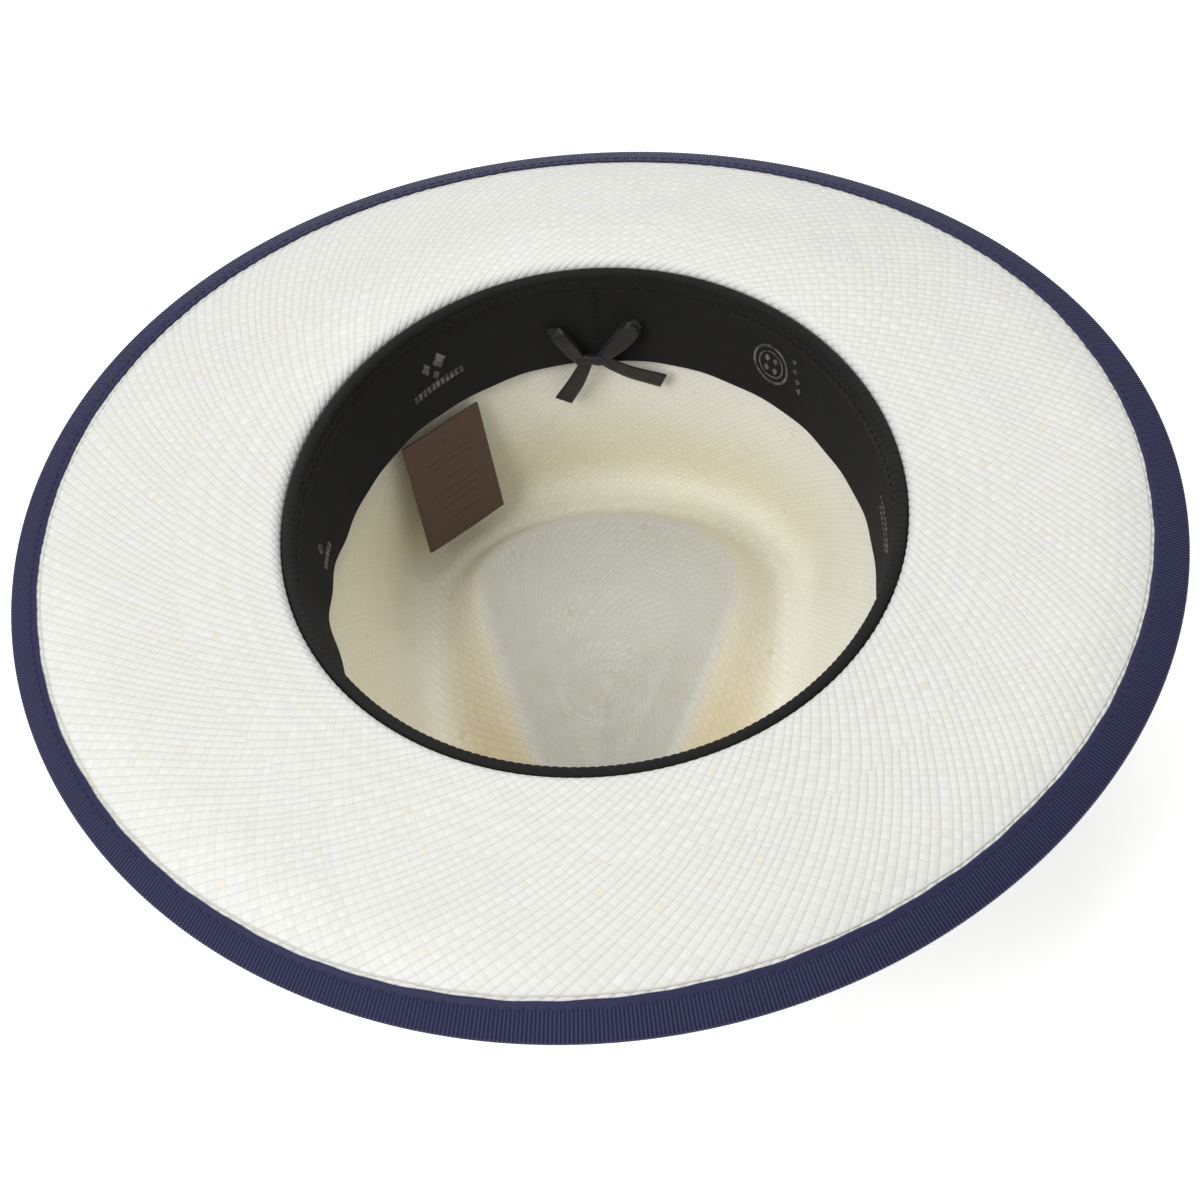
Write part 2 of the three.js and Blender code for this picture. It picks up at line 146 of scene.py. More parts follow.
def ridge(a, shift=0.0):
    """The crown's lowest ring, moved inwards by shift."""
    y, u = egg_plan(a, RIDGE)
    reach = np.where(u > 0, RIDGE["back"] - RIDGE["widest"], RIDGE["widest"] - RIDGE["front"])
    x = RIDGE["half_width"] * np.sqrt(np.maximum(0, 1 - (u / reach) ** 2)) * np.sign(np.cos(a))
    return vec(x, y, STRAW) - outward(a) * shift


def dent_edge(a):
    y, u = egg_plan(a, DENT)
    back = DENT["half_width"] * np.sqrt(np.maximum(0, 1 - (u / (DENT["back"] - DENT["widest"])) ** 2))
    narrowed = DENT["taper"] * (np.hypot(u, DENT["soft"]) - DENT["soft"])
    end = np.maximum(0, 1 - (u / (DENT["widest"] - DENT["front"])) ** 8)
    x = np.where(u > 0, back, (DENT["half_width"] - narrowed) * np.sqrt(end))
    return vec(x * np.sign(np.cos(a)), y, HEADLINE_Z - DENT["edge"])


def crown_drop(a):
    return headline(a)[..., 2] - STRAW


def wall(a, drop):
    """The crown's inner wall, drop below the headline."""
    top, low = headline(a), ridge(a, -RIDGE["flat"])
    straight = crown_drop(a) - CROWN["round_height"]
    across = np.hypot(top[..., 0] - low[..., 0], top[..., 1] - low[..., 1])
    share = (across - CROWN["round_across"]) / across
    f = share * (np.clip(drop, 0, straight) / straight) ** CROWN["bulge"]
    knee = share * (1 + CROWN["bulge"] / straight * CROWN["round_height"])
    past = np.clip((drop - straight) / CROWN["round_height"], 0, 1)
    t = 1 - np.sqrt(1 - past)
    f = np.where(drop > straight, share * (1 - t) ** 2 + 2 * knee * t * (1 - t) + t * t, f)
    p = mix(top, low, f[..., None])
    p[..., 2] = top[..., 2] - drop
    return p


def dent(a, q):
    """From the lowest ring up the groove's inner side (0 to 1) and over the dent's floor (1 to 2)."""
    start, edge = ridge(a, RIDGE["flat"]), dent_edge(a)
    rising = mix(start, edge, np.clip(q, 0, 1)[..., None])
    rising[..., 2] = mix(STRAW, edge[..., 2], smooth(q))
    t = np.clip(2 - q, 0, 1)
    floor = edge * t[..., None]
    floor[..., 2] = mix(HEADLINE_Z - DENT["centre"], edge[..., 2], t * t)
    return np.where((q <= 1)[..., None], rising, floor)


# One path from the rim (-1) over the headline (0), down to the ridge (1 to FLAT_END) and up to
# the middle of the dent (LAST).
FLAT_END, DENT_END, LAST = 1.05, 1.6, 2.0


def meridian(a, t):
    a, t = np.broadcast_arrays(np.asarray(a, float), np.asarray(t, float))
    p = brim(a, np.clip(-t, 0, 1) * rim_reach(a))
    p = np.where((t > 0)[..., None], wall(a, np.clip(t, 0, 1) * crown_drop(a)), p)
    flat = np.clip((t - 1) / (FLAT_END - 1), 0, 1)
    level = mix(ridge(a, -RIDGE["flat"]), ridge(a, RIDGE["flat"]), flat[..., None])
    p = np.where((t > 1)[..., None], level, p)
    q = (t - FLAT_END) / (DENT_END - FLAT_END)
    q = np.where(t > DENT_END, 1 + (t - DENT_END) / (LAST - DENT_END), q)
    return np.where((t > FLAT_END)[..., None], dent(a, np.clip(q, 0, 2)), p)


def meridian_normal(a, t):
    """Unit normal on the side that faces the head and the brim's visible side."""
    along = meridian(a, np.minimum(t + 0.004, LAST)) - meridian(a, np.maximum(t - 0.004, -1))
    around = meridian(a + 0.004, t) - meridian(a - 0.004, t)
    n = np.cross(around, along)
    length = np.linalg.norm(n, axis=-1, keepdims=True)
    return np.where(length > 1e-9, n / np.maximum(length, 1e-9), UP)


def band_share(drop):
    return (drop - SWEAT["top"]) / (SWEAT["height"] - SWEAT["top"])


def band_inset(a, drop):
    lean = 7.6 + 1.7 * np.cos(2 * a) - 0.9 * np.cos(a) - 2.2 * np.sin(a)
    t = np.clip(band_share(drop), 0, 1.1)
    return mix(1.4, lean, t**1.15)


def inside(a, inset, drop):
    p = headline(a) - outward(a) * np.asarray(inset)[..., None]
    p[..., 2] = p[..., 2] - drop
    return p


def band_ripple(a):
    """The free edge of the sweatband waves on the wearer's left."""
    side = near(a, np.radians(183), np.radians(38))
    return side * (1.0 * np.sin(9.5 * a + 0.8) + 0.5 * np.sin(21 * a))


def on_band(a, drop, lift):
    """A place on the outside of the crown, lift above the cloth's clearance."""
    a, drop = np.broadcast_arrays(np.asarray(a, float), np.asarray(drop, float))
    t = drop / crown_drop(a)
    return meridian(a, t) - meridian_normal(a, t) * (STRAW + GAP + np.asarray(lift))[..., None]


# ---- meshes ----------------------------------------------------------------------------------
def around(count):
    return np.arange(count) * 2 * PI / count


def tangent(a):
    return vec(-outward(a)[..., 1], outward(a)[..., 0], 0)


def upwards(normal):
    return np.where(normal[..., 2:] < 0, -normal, normal)


def build(name, points, faces, material, slot, uv=None, tint=None, body="hat", sharp=None):
    """A piece from points in millimetres and a list of face arrays, all of one side count each."""
    if name in bpy.data.objects:  # the CAD node that it stands for has the name
        name += "_look"
    mesh = bpy.data.meshes.new(name)
    points = (np.asarray(points, float).reshape(-1, 3) + ORIGIN) * MM
    faces = [np.asarray(f, np.int32) for f in faces if len(f)]
    corners = np.concatenate([f.ravel() for f in faces])
    sides = np.concatenate([np.full(len(f), f.shape[1], np.int32) for f in faces])
    starts = np.concatenate([[0], np.cumsum(sides)[:-1]]).astype(np.int32)
    mesh.vertices.add(len(points))
    mesh.vertices.foreach_set("co", points.astype(np.float32).ravel())
    mesh.loops.add(len(corners))
    mesh.loops.foreach_set("vertex_index", corners)
    mesh.polygons.add(len(sides))
    mesh.polygons.foreach_set("loop_start", starts)
    mesh.update(calc_edges=True)
    mesh.shade_smooth()
    if sharp:
        mesh.set_sharp_from_angle(angle=np.radians(sharp))
    if uv is not None:
        layer = mesh.uv_layers.new(name="weave")
        layer.data.foreach_set("uv", np.asarray(uv, np.float32).ravel())
    if tint is not None:
        layer = mesh.attributes.new("tint", "FLOAT_COLOR", "POINT")
        rgba = np.concatenate([tint, np.ones((len(tint), 1))], 1)
        layer.data.foreach_set("color", rgba.astype(np.float32).ravel())
    mesh.validate()
    piece = bpy.data.objects.new(name, mesh)
    bpy.context.scene.collection.objects.link(piece)
    piece.data.materials.append(material)
    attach(piece, body)
    return piece


def grid_faces(rows, cols, close_rows, close_cols):
    """Quads of a grid, and the grid place (unwrapped) of each corner."""
    steps = [np.arange(n if close else n - 1) for n, close in ((rows, close_rows), (cols, close_cols))]
    i, j = np.meshgrid(*steps, indexing="ij")
    corners = [(i, j), (i, j + 1), (i + 1, j + 1), (i + 1, j)]
    faces = np.stack([(r % rows) * cols + c % cols for r, c in corners], -1).reshape(-1, 4)
    places = np.stack([np.stack(c, -1) for c in corners], -2).reshape(-1, 4, 2)
    return faces, places


def facing_out(points, faces):
    """Whether the faces of a closed solid turn so that its volume is positive."""
    volume = 0.0
    for f in faces:
        for k in range(1, f.shape[1] - 1):
            volume += np.einsum("ij,ij->", points[f[:, 0]], np.cross(points[f[:, k]], points[f[:, k + 1]]))
    return volume > 0


def end_caps(rows, cols):
    """Quads across both ends of a tube of rows sections, each with an even number of points."""
    k = np.arange(cols // 2 - 1)
    near_cap = np.stack([k, cols - 1 - k, cols - 2 - k, k + 1], -1)
    return np.concatenate([near_cap, near_cap[:, ::-1] + (rows - 1) * cols])


def tube(sections, length, across, closed):
    """Points, quads and texture of a solid through sections (stations by section points by 3).

    length and across are the texture's millimetres at each station and section point. Both hold
    one value more than there are points where that way is closed.
    """
    rows, cols = sections.shape[:2]
    points = sections.reshape(-1, 3)
    quads, places = grid_faces(rows, cols, closed, True)
    uv = np.stack([length[places[..., 0]], across[places[..., 1]]], -1)
    if not closed:
        caps = end_caps(rows, cols)
        quads = np.concatenate([quads, caps])
        uv = np.concatenate([uv, np.zeros((len(caps), 4, 2))])
    if not facing_out(points - points.mean(0), [quads]):
        quads, uv = quads[:, ::-1], uv[:, ::-1]
    return points, quads, uv


def swept(name, sections, material, slot, length, across, closed=True, **more):
    points, quads, uv = tube(sections, length, across, closed)
    return build(name, points, [quads], material, slot, uv=uv, **more)


def joined(name, tubes, material, slot):
    """One piece from several tubes."""
    starts = np.cumsum([0] + [len(points) for points, _, _ in tubes[:-1]])
    points, quads, uv = (np.concatenate(part) for part in zip(
        *((points, quads + start, uv) for (points, quads, uv), start in zip(tubes, starts))
    ))
    return build(name, points, [quads], material, slot, uv=uv)


def zipped(ring_a, phi_a, ring_b, phi_b):
    """Triangles between two closed rings of different counts, both in order of their angle.

    Returns the triangles' points, their angles and which ring (0 or 1) each is on.
    """
    faces = []
    i = j = 0
    angle_a, angle_b = (np.append(phi, phi[0] + 2 * PI) for phi in (phi_a, phi_b))
    while i < len(ring_a) or j < len(ring_b):
        if j >= len(ring_b) or (i < len(ring_a) and angle_a[i + 1] <= angle_b[j + 1]):
            faces.append(((0, i), (0, i + 1), (1, j)))
            i += 1
        else:
            faces.append(((0, i), (1, j + 1), (1, j)))
            j += 1
    which, place = np.moveaxis(np.array(faces), -1, 0)
    index = np.where(which == 0, ring_a[place % len(ring_a)], ring_b[place % len(ring_b)])
    inside_a, inside_b = (np.minimum(place, len(ring)) for ring in (ring_a, ring_b))
    phi = np.where(which == 0, angle_a[inside_a], angle_b[inside_b])
    return index, phi, which


# ---- shader helper ---------------------------------------------------------------------------
class Shader:
    """A material's nodes, written as expressions. A value is a socket or a plain number."""

    def __init__(self, name, colour, roughness, **constants):
        self.material = bpy.data.materials.new(name)
        self.material.use_nodes = True
        self.tree = self.material.node_tree
        self.bsdf = self.tree.nodes["Principled BSDF"]
        self.bsdf.inputs["Base Color"].default_value = (*colour, 1)
        self.bsdf.inputs["Roughness"].default_value = roughness
        for socket, value in constants.items():
            self.bsdf.inputs[socket.replace("_", " ")].default_value = value

    def put(self, socket, value):
        if isinstance(value, bpy.types.NodeSocket):
            self.tree.links.new(value, socket)
        elif isinstance(value, (tuple, list)) and len(socket.default_value) == 4:
            socket.default_value = (*value, 1)
        else:
            socket.default_value = value

    def node(self, kind, inputs=(), **settings):
        made = self.tree.nodes.new(kind)
        for key, value in settings.items():
            setattr(made, key, value)
        for key, value in dict(inputs).items():
            self.put(made.inputs[key], value)
        return made

    def math(self, operation, a, b=0.0, c=0.0):
        return self.node("ShaderNodeMath", {0: a, 1: b, 2: c}, operation=operation).outputs[0]

    def pick(self, factor, a, b):
        made = self.node("ShaderNodeMix", {0: factor, 2: a, 3: b}, data_type="FLOAT")
        return made.outputs[0]

    def colours(self, factor, a, b, blend="MIX"):
        made = self.node("ShaderNodeMix", data_type="RGBA", blend_type=blend)
        for key, value in {0: factor, 6: a, 7: b}.items():
            self.put(made.inputs[key], value)
        return made.outputs[2]

    def step(self, value, low, high, to_low=0.0, to_high=1.0):
        inputs = {"Value": value, "From Min": low, "From Max": high, "To Min": to_low, "To Max": to_high}
        return self.node("ShaderNodeMapRange", inputs, interpolation_type="SMOOTHSTEP").outputs[0]

    def vector(self, x, y, z=0.0):
        return self.node("ShaderNodeCombineXYZ", {0: x, 1: y, 2: z}).outputs[0]

    def weave_xy(self):
        uv = self.node("ShaderNodeUVMap", uv_map="weave")
        parts = self.node("ShaderNodeSeparateXYZ", {0: uv.outputs[0]})
        return parts.outputs[0], parts.outputs[1]

    def place(self):
        return self.node("ShaderNodeTexCoord").outputs["Object"]

    def noise(self, vector, scale, detail=2.0, roughness=0.5):
        inputs = {"Vector": vector, "Scale": scale, "Detail": detail, "Roughness": roughness}
        return self.node("ShaderNodeTexNoise", inputs).outputs[0]

    def random(self, x, y=0.0):
        inputs = {"Vector": self.vector(x, y)}
        return self.node("ShaderNodeTexWhiteNoise", inputs, noise_dimensions="2D").outputs[0]

    def grey(self, value):
        return self.node("ShaderNodeCombineColor", {0: value, 1: value, 2: value}).outputs[0]

    def colour(self, value):
        self.put(self.bsdf.inputs["Base Color"], value)

    def roughness(self, value):
        self.put(self.bsdf.inputs["Roughness"], value)

    def bump(self, height, distance, strength=1.0):
        made = self.node("ShaderNodeBump", {"Height": height, "Distance": distance, "Strength": strength})
        self.put(self.bsdf.inputs["Normal"], made.outputs[0])


# ---- materials -------------------------------------------------------------------------------
def straw_material(name, pale, repeat, gap_dark, tone_range, relief):
    """Flat plaited strands. The texture's x and y count the strands of the two families.

    The strands that y counts are pulled tighter: their gaps are lines, the others' only ticks.
    """
    s = Shader(name, pale, 0.5, Specular_IOR_Level=0.35)
    x, y = s.weave_xy()
    cell_x, cell_y = s.math("FLOOR", x), s.math("FLOOR", y)
    part_x, part_y = s.math("SUBTRACT", x, cell_x), s.math("SUBTRACT", y, cell_y)
    parity = s.math("FLOORED_MODULO", s.math("ADD", cell_x, cell_y), 2.0)
    off_x = s.math("ABSOLUTE", s.math("MULTIPLY_ADD", part_x, 2.0, -1.0))
    off_y = s.math("ABSOLUTE", s.math("MULTIPLY_ADD", part_y, 2.0, -1.0))
    along = s.pick(parity, part_y, part_x)
    own_x, own_y = s.math("FLOORED_MODULO", cell_x, repeat), s.math("FLOORED_MODULO", cell_y, repeat)
    strand = s.pick(parity, own_x, own_y)
    strand_tone = s.random(strand, s.math("MULTIPLY_ADD", parity, 7.0, 3.0))
    cell_tone = s.random(own_x, own_y)
    line = s.math("MULTIPLY", s.step(off_y, 0.74, 1.0), s.pick(parity, 0.55, 1.0))
    tick = s.math("MULTIPLY", s.step(off_x, 0.8, 1.0), s.pick(parity, 0.65, 0.25))
    shade = s.math("MULTIPLY_ADD", line, -gap_dark, 1.0)
    shade = s.math("MULTIPLY", shade, s.math("MULTIPLY_ADD", tick, -gap_dark, 1.0))
    shade = s.math("MULTIPLY", shade, s.math("MULTIPLY_ADD", strand_tone, -tone_range, 1.0))
    shade = s.math("MULTIPLY", shade, s.math("MULTIPLY_ADD", cell_tone, -0.45 * tone_range, 1.0))
    # Painted light: the top cells of one family of strands are painted a little lighter, as if lit from one
    # side.
    shade = s.math("MULTIPLY", shade, s.math("MULTIPLY_ADD", parity, 0.6 * tone_range, 1 - 0.6 * tone_range))
    fibre_x = s.math("MULTIPLY_ADD", s.pick(parity, part_x, part_y), 9.0, s.math("MULTIPLY", strand, 3.7))
    fibre_y = s.math("MULTIPLY_ADD", cell_tone, 40.0, along)
    fibre = s.noise(s.vector(fibre_x, fibre_y), 1.0, 3.0)
    shade = s.math("MULTIPLY", shade, s.math("MULTIPLY_ADD", fibre, 0.07, 0.965))
    patch = s.noise(s.place(), 16.0, 3.0)
    shade = s.math("MULTIPLY", shade, s.math("MULTIPLY_ADD", patch, 0.05, 0.975))
    warm = s.math("GREATER_THAN", s.random(s.math("ADD", own_x, 11.0), s.math("ADD", own_y, 5.0)), 0.992)
    base = s.colours(s.math("MULTIPLY", warm, 0.3), pale, (0.78, 0.69, 0.45))
    tint = s.node("ShaderNodeAttribute", attribute_name="tint").outputs["Color"]
    coloured = s.colours(1.0, base, tint, "MULTIPLY")
    s.colour(s.colours(1.0, coloured, s.grey(shade), "MULTIPLY"))
    s.roughness(s.math("MULTIPLY_ADD", fibre, 0.25, 0.36))
    height = s.math("MULTIPLY_ADD", s.math("POWER", off_y, 5.0), -0.6, s.math("MULTIPLY", fibre, 0.35))
    height = s.math("MULTIPLY_ADD", s.math("POWER", off_x, 6.0), -0.3, height)
    s.bump(height, relief)
    return s.material


def grosgrain_material(name, ribbon_width, edge=2.4):
    """Ribbed ribbon: x runs along it and y across it, in millimetres."""
    gloss = dict(Specular_IOR_Level=0.28, Sheen_Weight=0.04, Sheen_Roughness=0.5)
    s = Shader(name, (0.035, 0.035, 0.11), 0.6, **gloss)
    s.bsdf.inputs["Sheen Tint"].default_value = (0.55, 0.6, 0.9, 1)
    x, y = s.weave_xy()
    rib = s.math("MULTIPLY", x, 2 * PI / RIB)
    wave = s.math("MULTIPLY_ADD", s.math("COSINE", rib), -0.5, 0.5)
    from_edge = s.math("MINIMUM", y, s.math("SUBTRACT", ribbon_width, y))
    ribbed = s.step(from_edge, edge - 0.5, edge + 0.3)
    wave = s.pick(ribbed, 0.55, wave)
    yarn = s.noise(s.vector(s.math("MULTIPLY", x, 1.2), s.math("MULTIPLY", y, 4.5)), 1.0, 3.0, 0.6)
    fuzz = s.noise(s.vector(x, y), 6.0, 3.0, 0.6)
    patch = s.noise(s.place(), 22.0, 2.0)
    # Painted shade: the troughs between the ribs are painted darker and the crests lighter.
    tone = s.math("MULTIPLY_ADD", wave, 1.25, 0.2)
    tone = s.math("MULTIPLY", tone, s.math("MULTIPLY_ADD", yarn, 0.6, 0.7))
    tone = s.math("MULTIPLY", tone, s.math("MULTIPLY_ADD", patch, 0.24, 0.88))
    base = s.colours(fuzz, (0.0135, 0.0145, 0.06), (0.027, 0.029, 0.092))
    s.colour(s.colours(1.0, base, s.grey(tone), "MULTIPLY"))
    s.roughness(s.math("MULTIPLY_ADD", fuzz, 0.2, 0.5))
    s.bump(s.math("MULTIPLY_ADD", yarn, 0.3, s.math("MULTIPLY_ADD", fuzz, 0.15, wave)), 0.00016)
    return s.material


def keeper_material():
    """The keeper's ribs run the other way, along x."""
    s = Shader("keeper_grosgrain", (0.035, 0.035, 0.11), 0.6, Specular_IOR_Level=0.3, Sheen_Weight=0.25)
    x, y = s.weave_xy()
    wave = s.math("MULTIPLY_ADD", s.math("COSINE", s.math("MULTIPLY", y, 2 * PI / RIB)), -0.5, 0.5)
    yarn = s.noise(s.vector(s.math("MULTIPLY", x, 4.5), s.math("MULTIPLY", y, 1.2)), 1.0, 3.0, 0.6)
    # Painted shade: the troughs between the ribs are painted darker and the crests lighter.
    ribs, fleck = s.math("MULTIPLY_ADD", wave, 0.75, 0.45), s.math("MULTIPLY_ADD", yarn, 0.5, 0.75)
    s.colour(s.colours(1.0, (0.028, 0.03, 0.09), s.grey(s.math("MULTIPLY", ribs, fleck)), "MULTIPLY"))
    s.bump(s.math("MULTIPLY_ADD", yarn, 0.3, wave), 0.00016)
    return s.material


def cloth_material(name, dark, light, thread, relief, sheen):
    """Fine plain twill: x and y in millimetres, thread the yarn pitch."""
    s = Shader(name, light, 0.85, Specular_IOR_Level=0.18, Sheen_Weight=sheen, Sheen_Roughness=0.4)
    x, y = s.weave_xy()
    warp = s.math("SINE", s.math("MULTIPLY", s.math("ADD", x, y), PI / thread))
    slanted = s.math("MULTIPLY_ADD", y, -0.55, x)
    weft = s.math("SINE", s.math("MULTIPLY", slanted, 2 * PI / thread))
    twill = s.math("MULTIPLY_ADD", s.math("MULTIPLY", warp, weft), 0.5, 0.5)
    slub = s.noise(s.vector(s.math("MULTIPLY", x, 0.35), s.math("MULTIPLY", y, 3.0)), 1.0, 4.0, 0.65)
    patch = s.noise(s.place(), 30.0, 3.0)
    tone = s.math("MULTIPLY_ADD", slub, 0.4, s.math("MULTIPLY", patch, 0.3))
    tone = s.math("MULTIPLY_ADD", twill, 0.4, tone)
    s.colour(s.colours(tone, dark, light))
    s.roughness(s.math("MULTIPLY_ADD", slub, 0.2, 0.74))
    s.bump(s.math("MULTIPLY_ADD", slub, 0.5, twill), relief)
    return s.material


def thread_material(name, dark, light, sheen, pitch=0.55):
    s = Shader(name, light, 0.7, Specular_IOR_Level=0.3, Sheen_Weight=sheen)
    x, y = s.weave_xy()
    twist = s.math("SINE", s.math("MULTIPLY_ADD", x, 2 * PI / pitch, s.math("MULTIPLY", y, 1.6)))
    lay = s.math("MULTIPLY_ADD", twist, 0.5, 0.5)
    fuzz = s.noise(s.place(), 2500.0, 2.0)
    s.colour(s.colours(s.math("MULTIPLY_ADD", lay, 0.6, s.math("MULTIPLY", fuzz, 0.4)), dark, light))
    s.roughness(s.math("MULTIPLY_ADD", fuzz, 0.2, 0.6))
    s.bump(lay, 0.00008)
    return s.material


def satin_material(name):
    gloss = dict(Specular_IOR_Level=0.5, Sheen_Weight=0.08, Sheen_Roughness=0.35)
    s = Shader(name, (0.012, 0.012, 0.014), 0.42, **gloss)
    x, y = s.weave_xy()
    yarn = s.noise(s.vector(s.math("MULTIPLY", x, 0.8), s.math("MULTIPLY", y, 9.0)), 1.0, 3.0, 0.6)
    crease = s.noise(s.place(), 160.0, 3.0)
    # Painted sheen and shade: the colour goes lighter and darker with the crease noise.
    tone = s.math("MULTIPLY_ADD", yarn, 0.6, s.math("MULTIPLY", crease, 0.4))
    s.colour(s.colours(tone, (0.005, 0.005, 0.006), (0.02, 0.02, 0.022)))
    s.roughness(s.math("MULTIPLY_ADD", yarn, 0.3, 0.3))
    s.bump(s.math("MULTIPLY_ADD", crease, 0.8, yarn), 0.00012)
    return s.material


def label_material():
    """Brown woven label with a few faint plain bars in a darker yarn."""
    s = Shader("label_weave", (0.1, 0.06, 0.045), 0.7, Specular_IOR_Level=0.25, Sheen_Weight=0.15)
    x, y = s.weave_xy()
    warp = s.math("SINE", s.math("MULTIPLY", x, 2 * PI / 0.42))
    weft = s.math("SINE", s.math("MULTIPLY", y, 2 * PI / 0.36))
    weave = s.math("MULTIPLY_ADD", s.math("MULTIPLY", warp, weft), 0.5, 0.5)
    slub = s.noise(s.vector(s.math("MULTIPLY", x, 2.5), s.math("MULTIPLY", y, 0.4)), 1.0, 4.0)
    patch = s.noise(s.place(), 60.0, 3.0)
    bars = 0.0
    for centre, half, reach in LABEL_BARS:
        line = s.step(s.math("ABSOLUTE", s.math("SUBTRACT", y, centre)), half, half + 0.25, 1.0, 0.0)
        middle = s.math("ABSOLUTE", s.math("SUBTRACT", x, LABEL["width"] / 2))
        span = s.step(middle, reach, reach + 0.4, 1.0, 0.0)
        bars = s.math("MAXIMUM", bars, s.math("MULTIPLY", line, span))
    tone = s.math("MULTIPLY_ADD", slub, 0.3, s.math("MULTIPLY", patch, 0.3))
    tone = s.math("MULTIPLY_ADD", weave, 0.4, tone)
    base = s.colours(tone, (0.07, 0.041, 0.03), (0.17, 0.1, 0.069))
    s.colour(s.colours(s.math("MULTIPLY", bars, 0.38), base, (0.04, 0.034, 0.028)))
    s.roughness(s.math("MULTIPLY_ADD", slub, 0.25, 0.58))
    s.bump(s.math("MULTIPLY_ADD", slub, 0.4, weave), 0.00008)
    return s.material


def foil_material():
    s = Shader("silver_print", (0.3, 0.29, 0.28), 0.45, Metallic=0.35)
    grain = s.noise(s.place(), 1800.0, 3.0)
    worn = s.noise(s.place(), 260.0, 4.0, 0.7)
    s.colour(s.colours(s.step(worn, 0.38, 0.62), (0.05, 0.049, 0.048), (0.2, 0.195, 0.19)))
    s.roughness(s.math("MULTIPLY_ADD", grain, 0.3, 0.35))
    s.bump(grain, 0.00004)
    return s.material


def floor_material():
    s = Shader("studio_floor", (0.93, 0.93, 0.93), 0.7, Specular_IOR_Level=0.1)
    grain = s.noise(s.place(), 3.0, 2.0)
    s.colour(s.colours(grain, (0.92, 0.92, 0.92), (0.94, 0.94, 0.94)))
    s.bsdf.inputs["Emission Color"].default_value = (1, 1, 1, 1)
    s.bsdf.inputs["Emission Strength"].default_value = 0.4
    return s.material


LABEL_BARS = [  # place down the label, half height and half length of each bar
    (6.0, 0.7, 1.4), (10.5, 0.35, 8.5), (12.5, 0.35, 7.0), (17.5, 0.5, 3.0),
    (21.5, 0.35, 9.0), (24.0, 0.35, 8.0), (26.5, 0.35, 6.5), (31.0, 0.35, 4.5),
]
BRIM_STRANDS = 256
INNER_STRANDS = 192
BRIM_REPEAT, CROWN_REPEAT = 64.0, 16.0  # strand colours repeat, by a number that divides every count
MATERIALS = {
    "brim": straw_material("straw_brim_weave", (0.775, 0.778, 0.74), BRIM_REPEAT, 0.12, 0.04, 0.00018),
    # The crown's straw is painted paler than the brim's: painted light, standing in for light that shines
    # through the straw into the crown.
    "crown": straw_material("straw_crown_weave", (0.93, 0.925, 0.885), CROWN_REPEAT, 0.09, 0.04, 0.00012),
    "binding": grosgrain_material("binding_grosgrain", 21.6),
    "hatband": grosgrain_material("hatband_grosgrain", 36.0, 1.2),
    "cloth": cloth_material("sweatband_twill", (0.006,) * 3, (0.021,) * 3, 0.5, 0.0001, 0.03),
    "navy_thread": thread_material("navy_thread_twist", (0.01, 0.01, 0.04), (0.03, 0.03, 0.09), 0.1),
    "black_thread": thread_material("black_thread_twist", (0.003, 0.003, 0.003), (0.013, 0.013, 0.013), 0.02),
    "hem_thread": thread_material("hem_thread_twist", (0.6, 0.58, 0.51), (0.75, 0.73, 0.66), 0.2),
    "satin": satin_material("bow_satin"),
    "label": label_material(),
    "foil": foil_material(),
    "keeper": keeper_material(),
}


# ---- woven straw -----------------------------------------------------------------------------
def measure_path(steps=1600):
    """u, the path's length in radii of its own ring, so that the plait's cells stay square."""
    t = np.linspace(-1, LAST - 0.004, steps)
    a = np.linspace(0, 2 * PI, 241)
    p = meridian(a[None, :], t[:, None])
    radius = np.linalg.norm(np.diff(p, axis=1), axis=-1).sum(1) / (2 * PI)
    along = np.linalg.norm(np.diff(p[:, :-1], axis=0), axis=-1).mean(1)
    u = np.concatenate([[0], np.cumsum(along / (0.5 * (radius[1:] + radius[:-1])))])
    return t, u, radius


PATH_T, PATH_U, PATH_RADIUS = measure_path()


def u_at(t):
    return float(np.interp(t, PATH_T, PATH_U))


def u_at_radius(radius):
    return float(np.interp(-radius, -PATH_RADIUS[PATH_T > 0], PATH_U[PATH_T > 0]))


def even_angle():
    """Angle a against the share of the way round the headline."""
    a = np.linspace(0, 2 * PI, 1441)
    steps = np.linalg.norm(np.diff(headline(a)[:, :2], axis=0), axis=-1)
    share = np.concatenate([[0], np.cumsum(steps)])
    return a, share / share[-1] * 2 * PI


EVEN_A, EVEN_PHI = even_angle()


def angle_of(phi):
    turns = np.floor(phi / (2 * PI))
    return np.interp(phi - turns * 2 * PI, EVEN_PHI, EVEN_A) + turns * 2 * PI


def strand_shift(p, strands, rng):
    """Uneven strand widths: each boundary between two strands is a little out of place."""
    shifts = rng.uniform(-0.14, 0.14, strands)
    shifts = np.append(shifts, shifts[0])
    return np.interp(np.mod(p, strands), np.arange(strands + 1), shifts)


def pillow(p, q):
    """Height of the plait, 0 in the gaps and 1 on the middle of each strand that lies on top."""
    cell_p, cell_q = np.floor(p + 1e-6), np.floor(q + 1e-6)
    x, y = np.abs(2 * (p - cell_p) - 1), np.abs(2 * (q - cell_q) - 1)
    odd = np.mod(cell_p + cell_q, 2) > 0.5
    across, along = 1 - np.where(odd, 0.9, 0.6) * y**4, 1 - np.where(odd, 0.4, 0.75) * x**3
    return across * along * np.where(odd, 1.0, 0.88)


def lattice_triangles(rows, count):
    """(row, column) corners of a lattice's triangles. Its odd rows stand half a step further along."""
    i, j = (grid.ravel() for grid in np.meshgrid(np.arange(rows), np.arange(count), indexing="ij"))
    even = i % 2 == 0
    first = [(i, j), (i, j + 1), (i + 1, np.where(even, j, j + 1))]
    second = [(i, np.where(even, j + 1, j)), (i + 1, j + 1), (i + 1, j)]
    return np.concatenate([np.stack([np.stack(c, -1) for c in corners], 1) for corners in (first, second)])


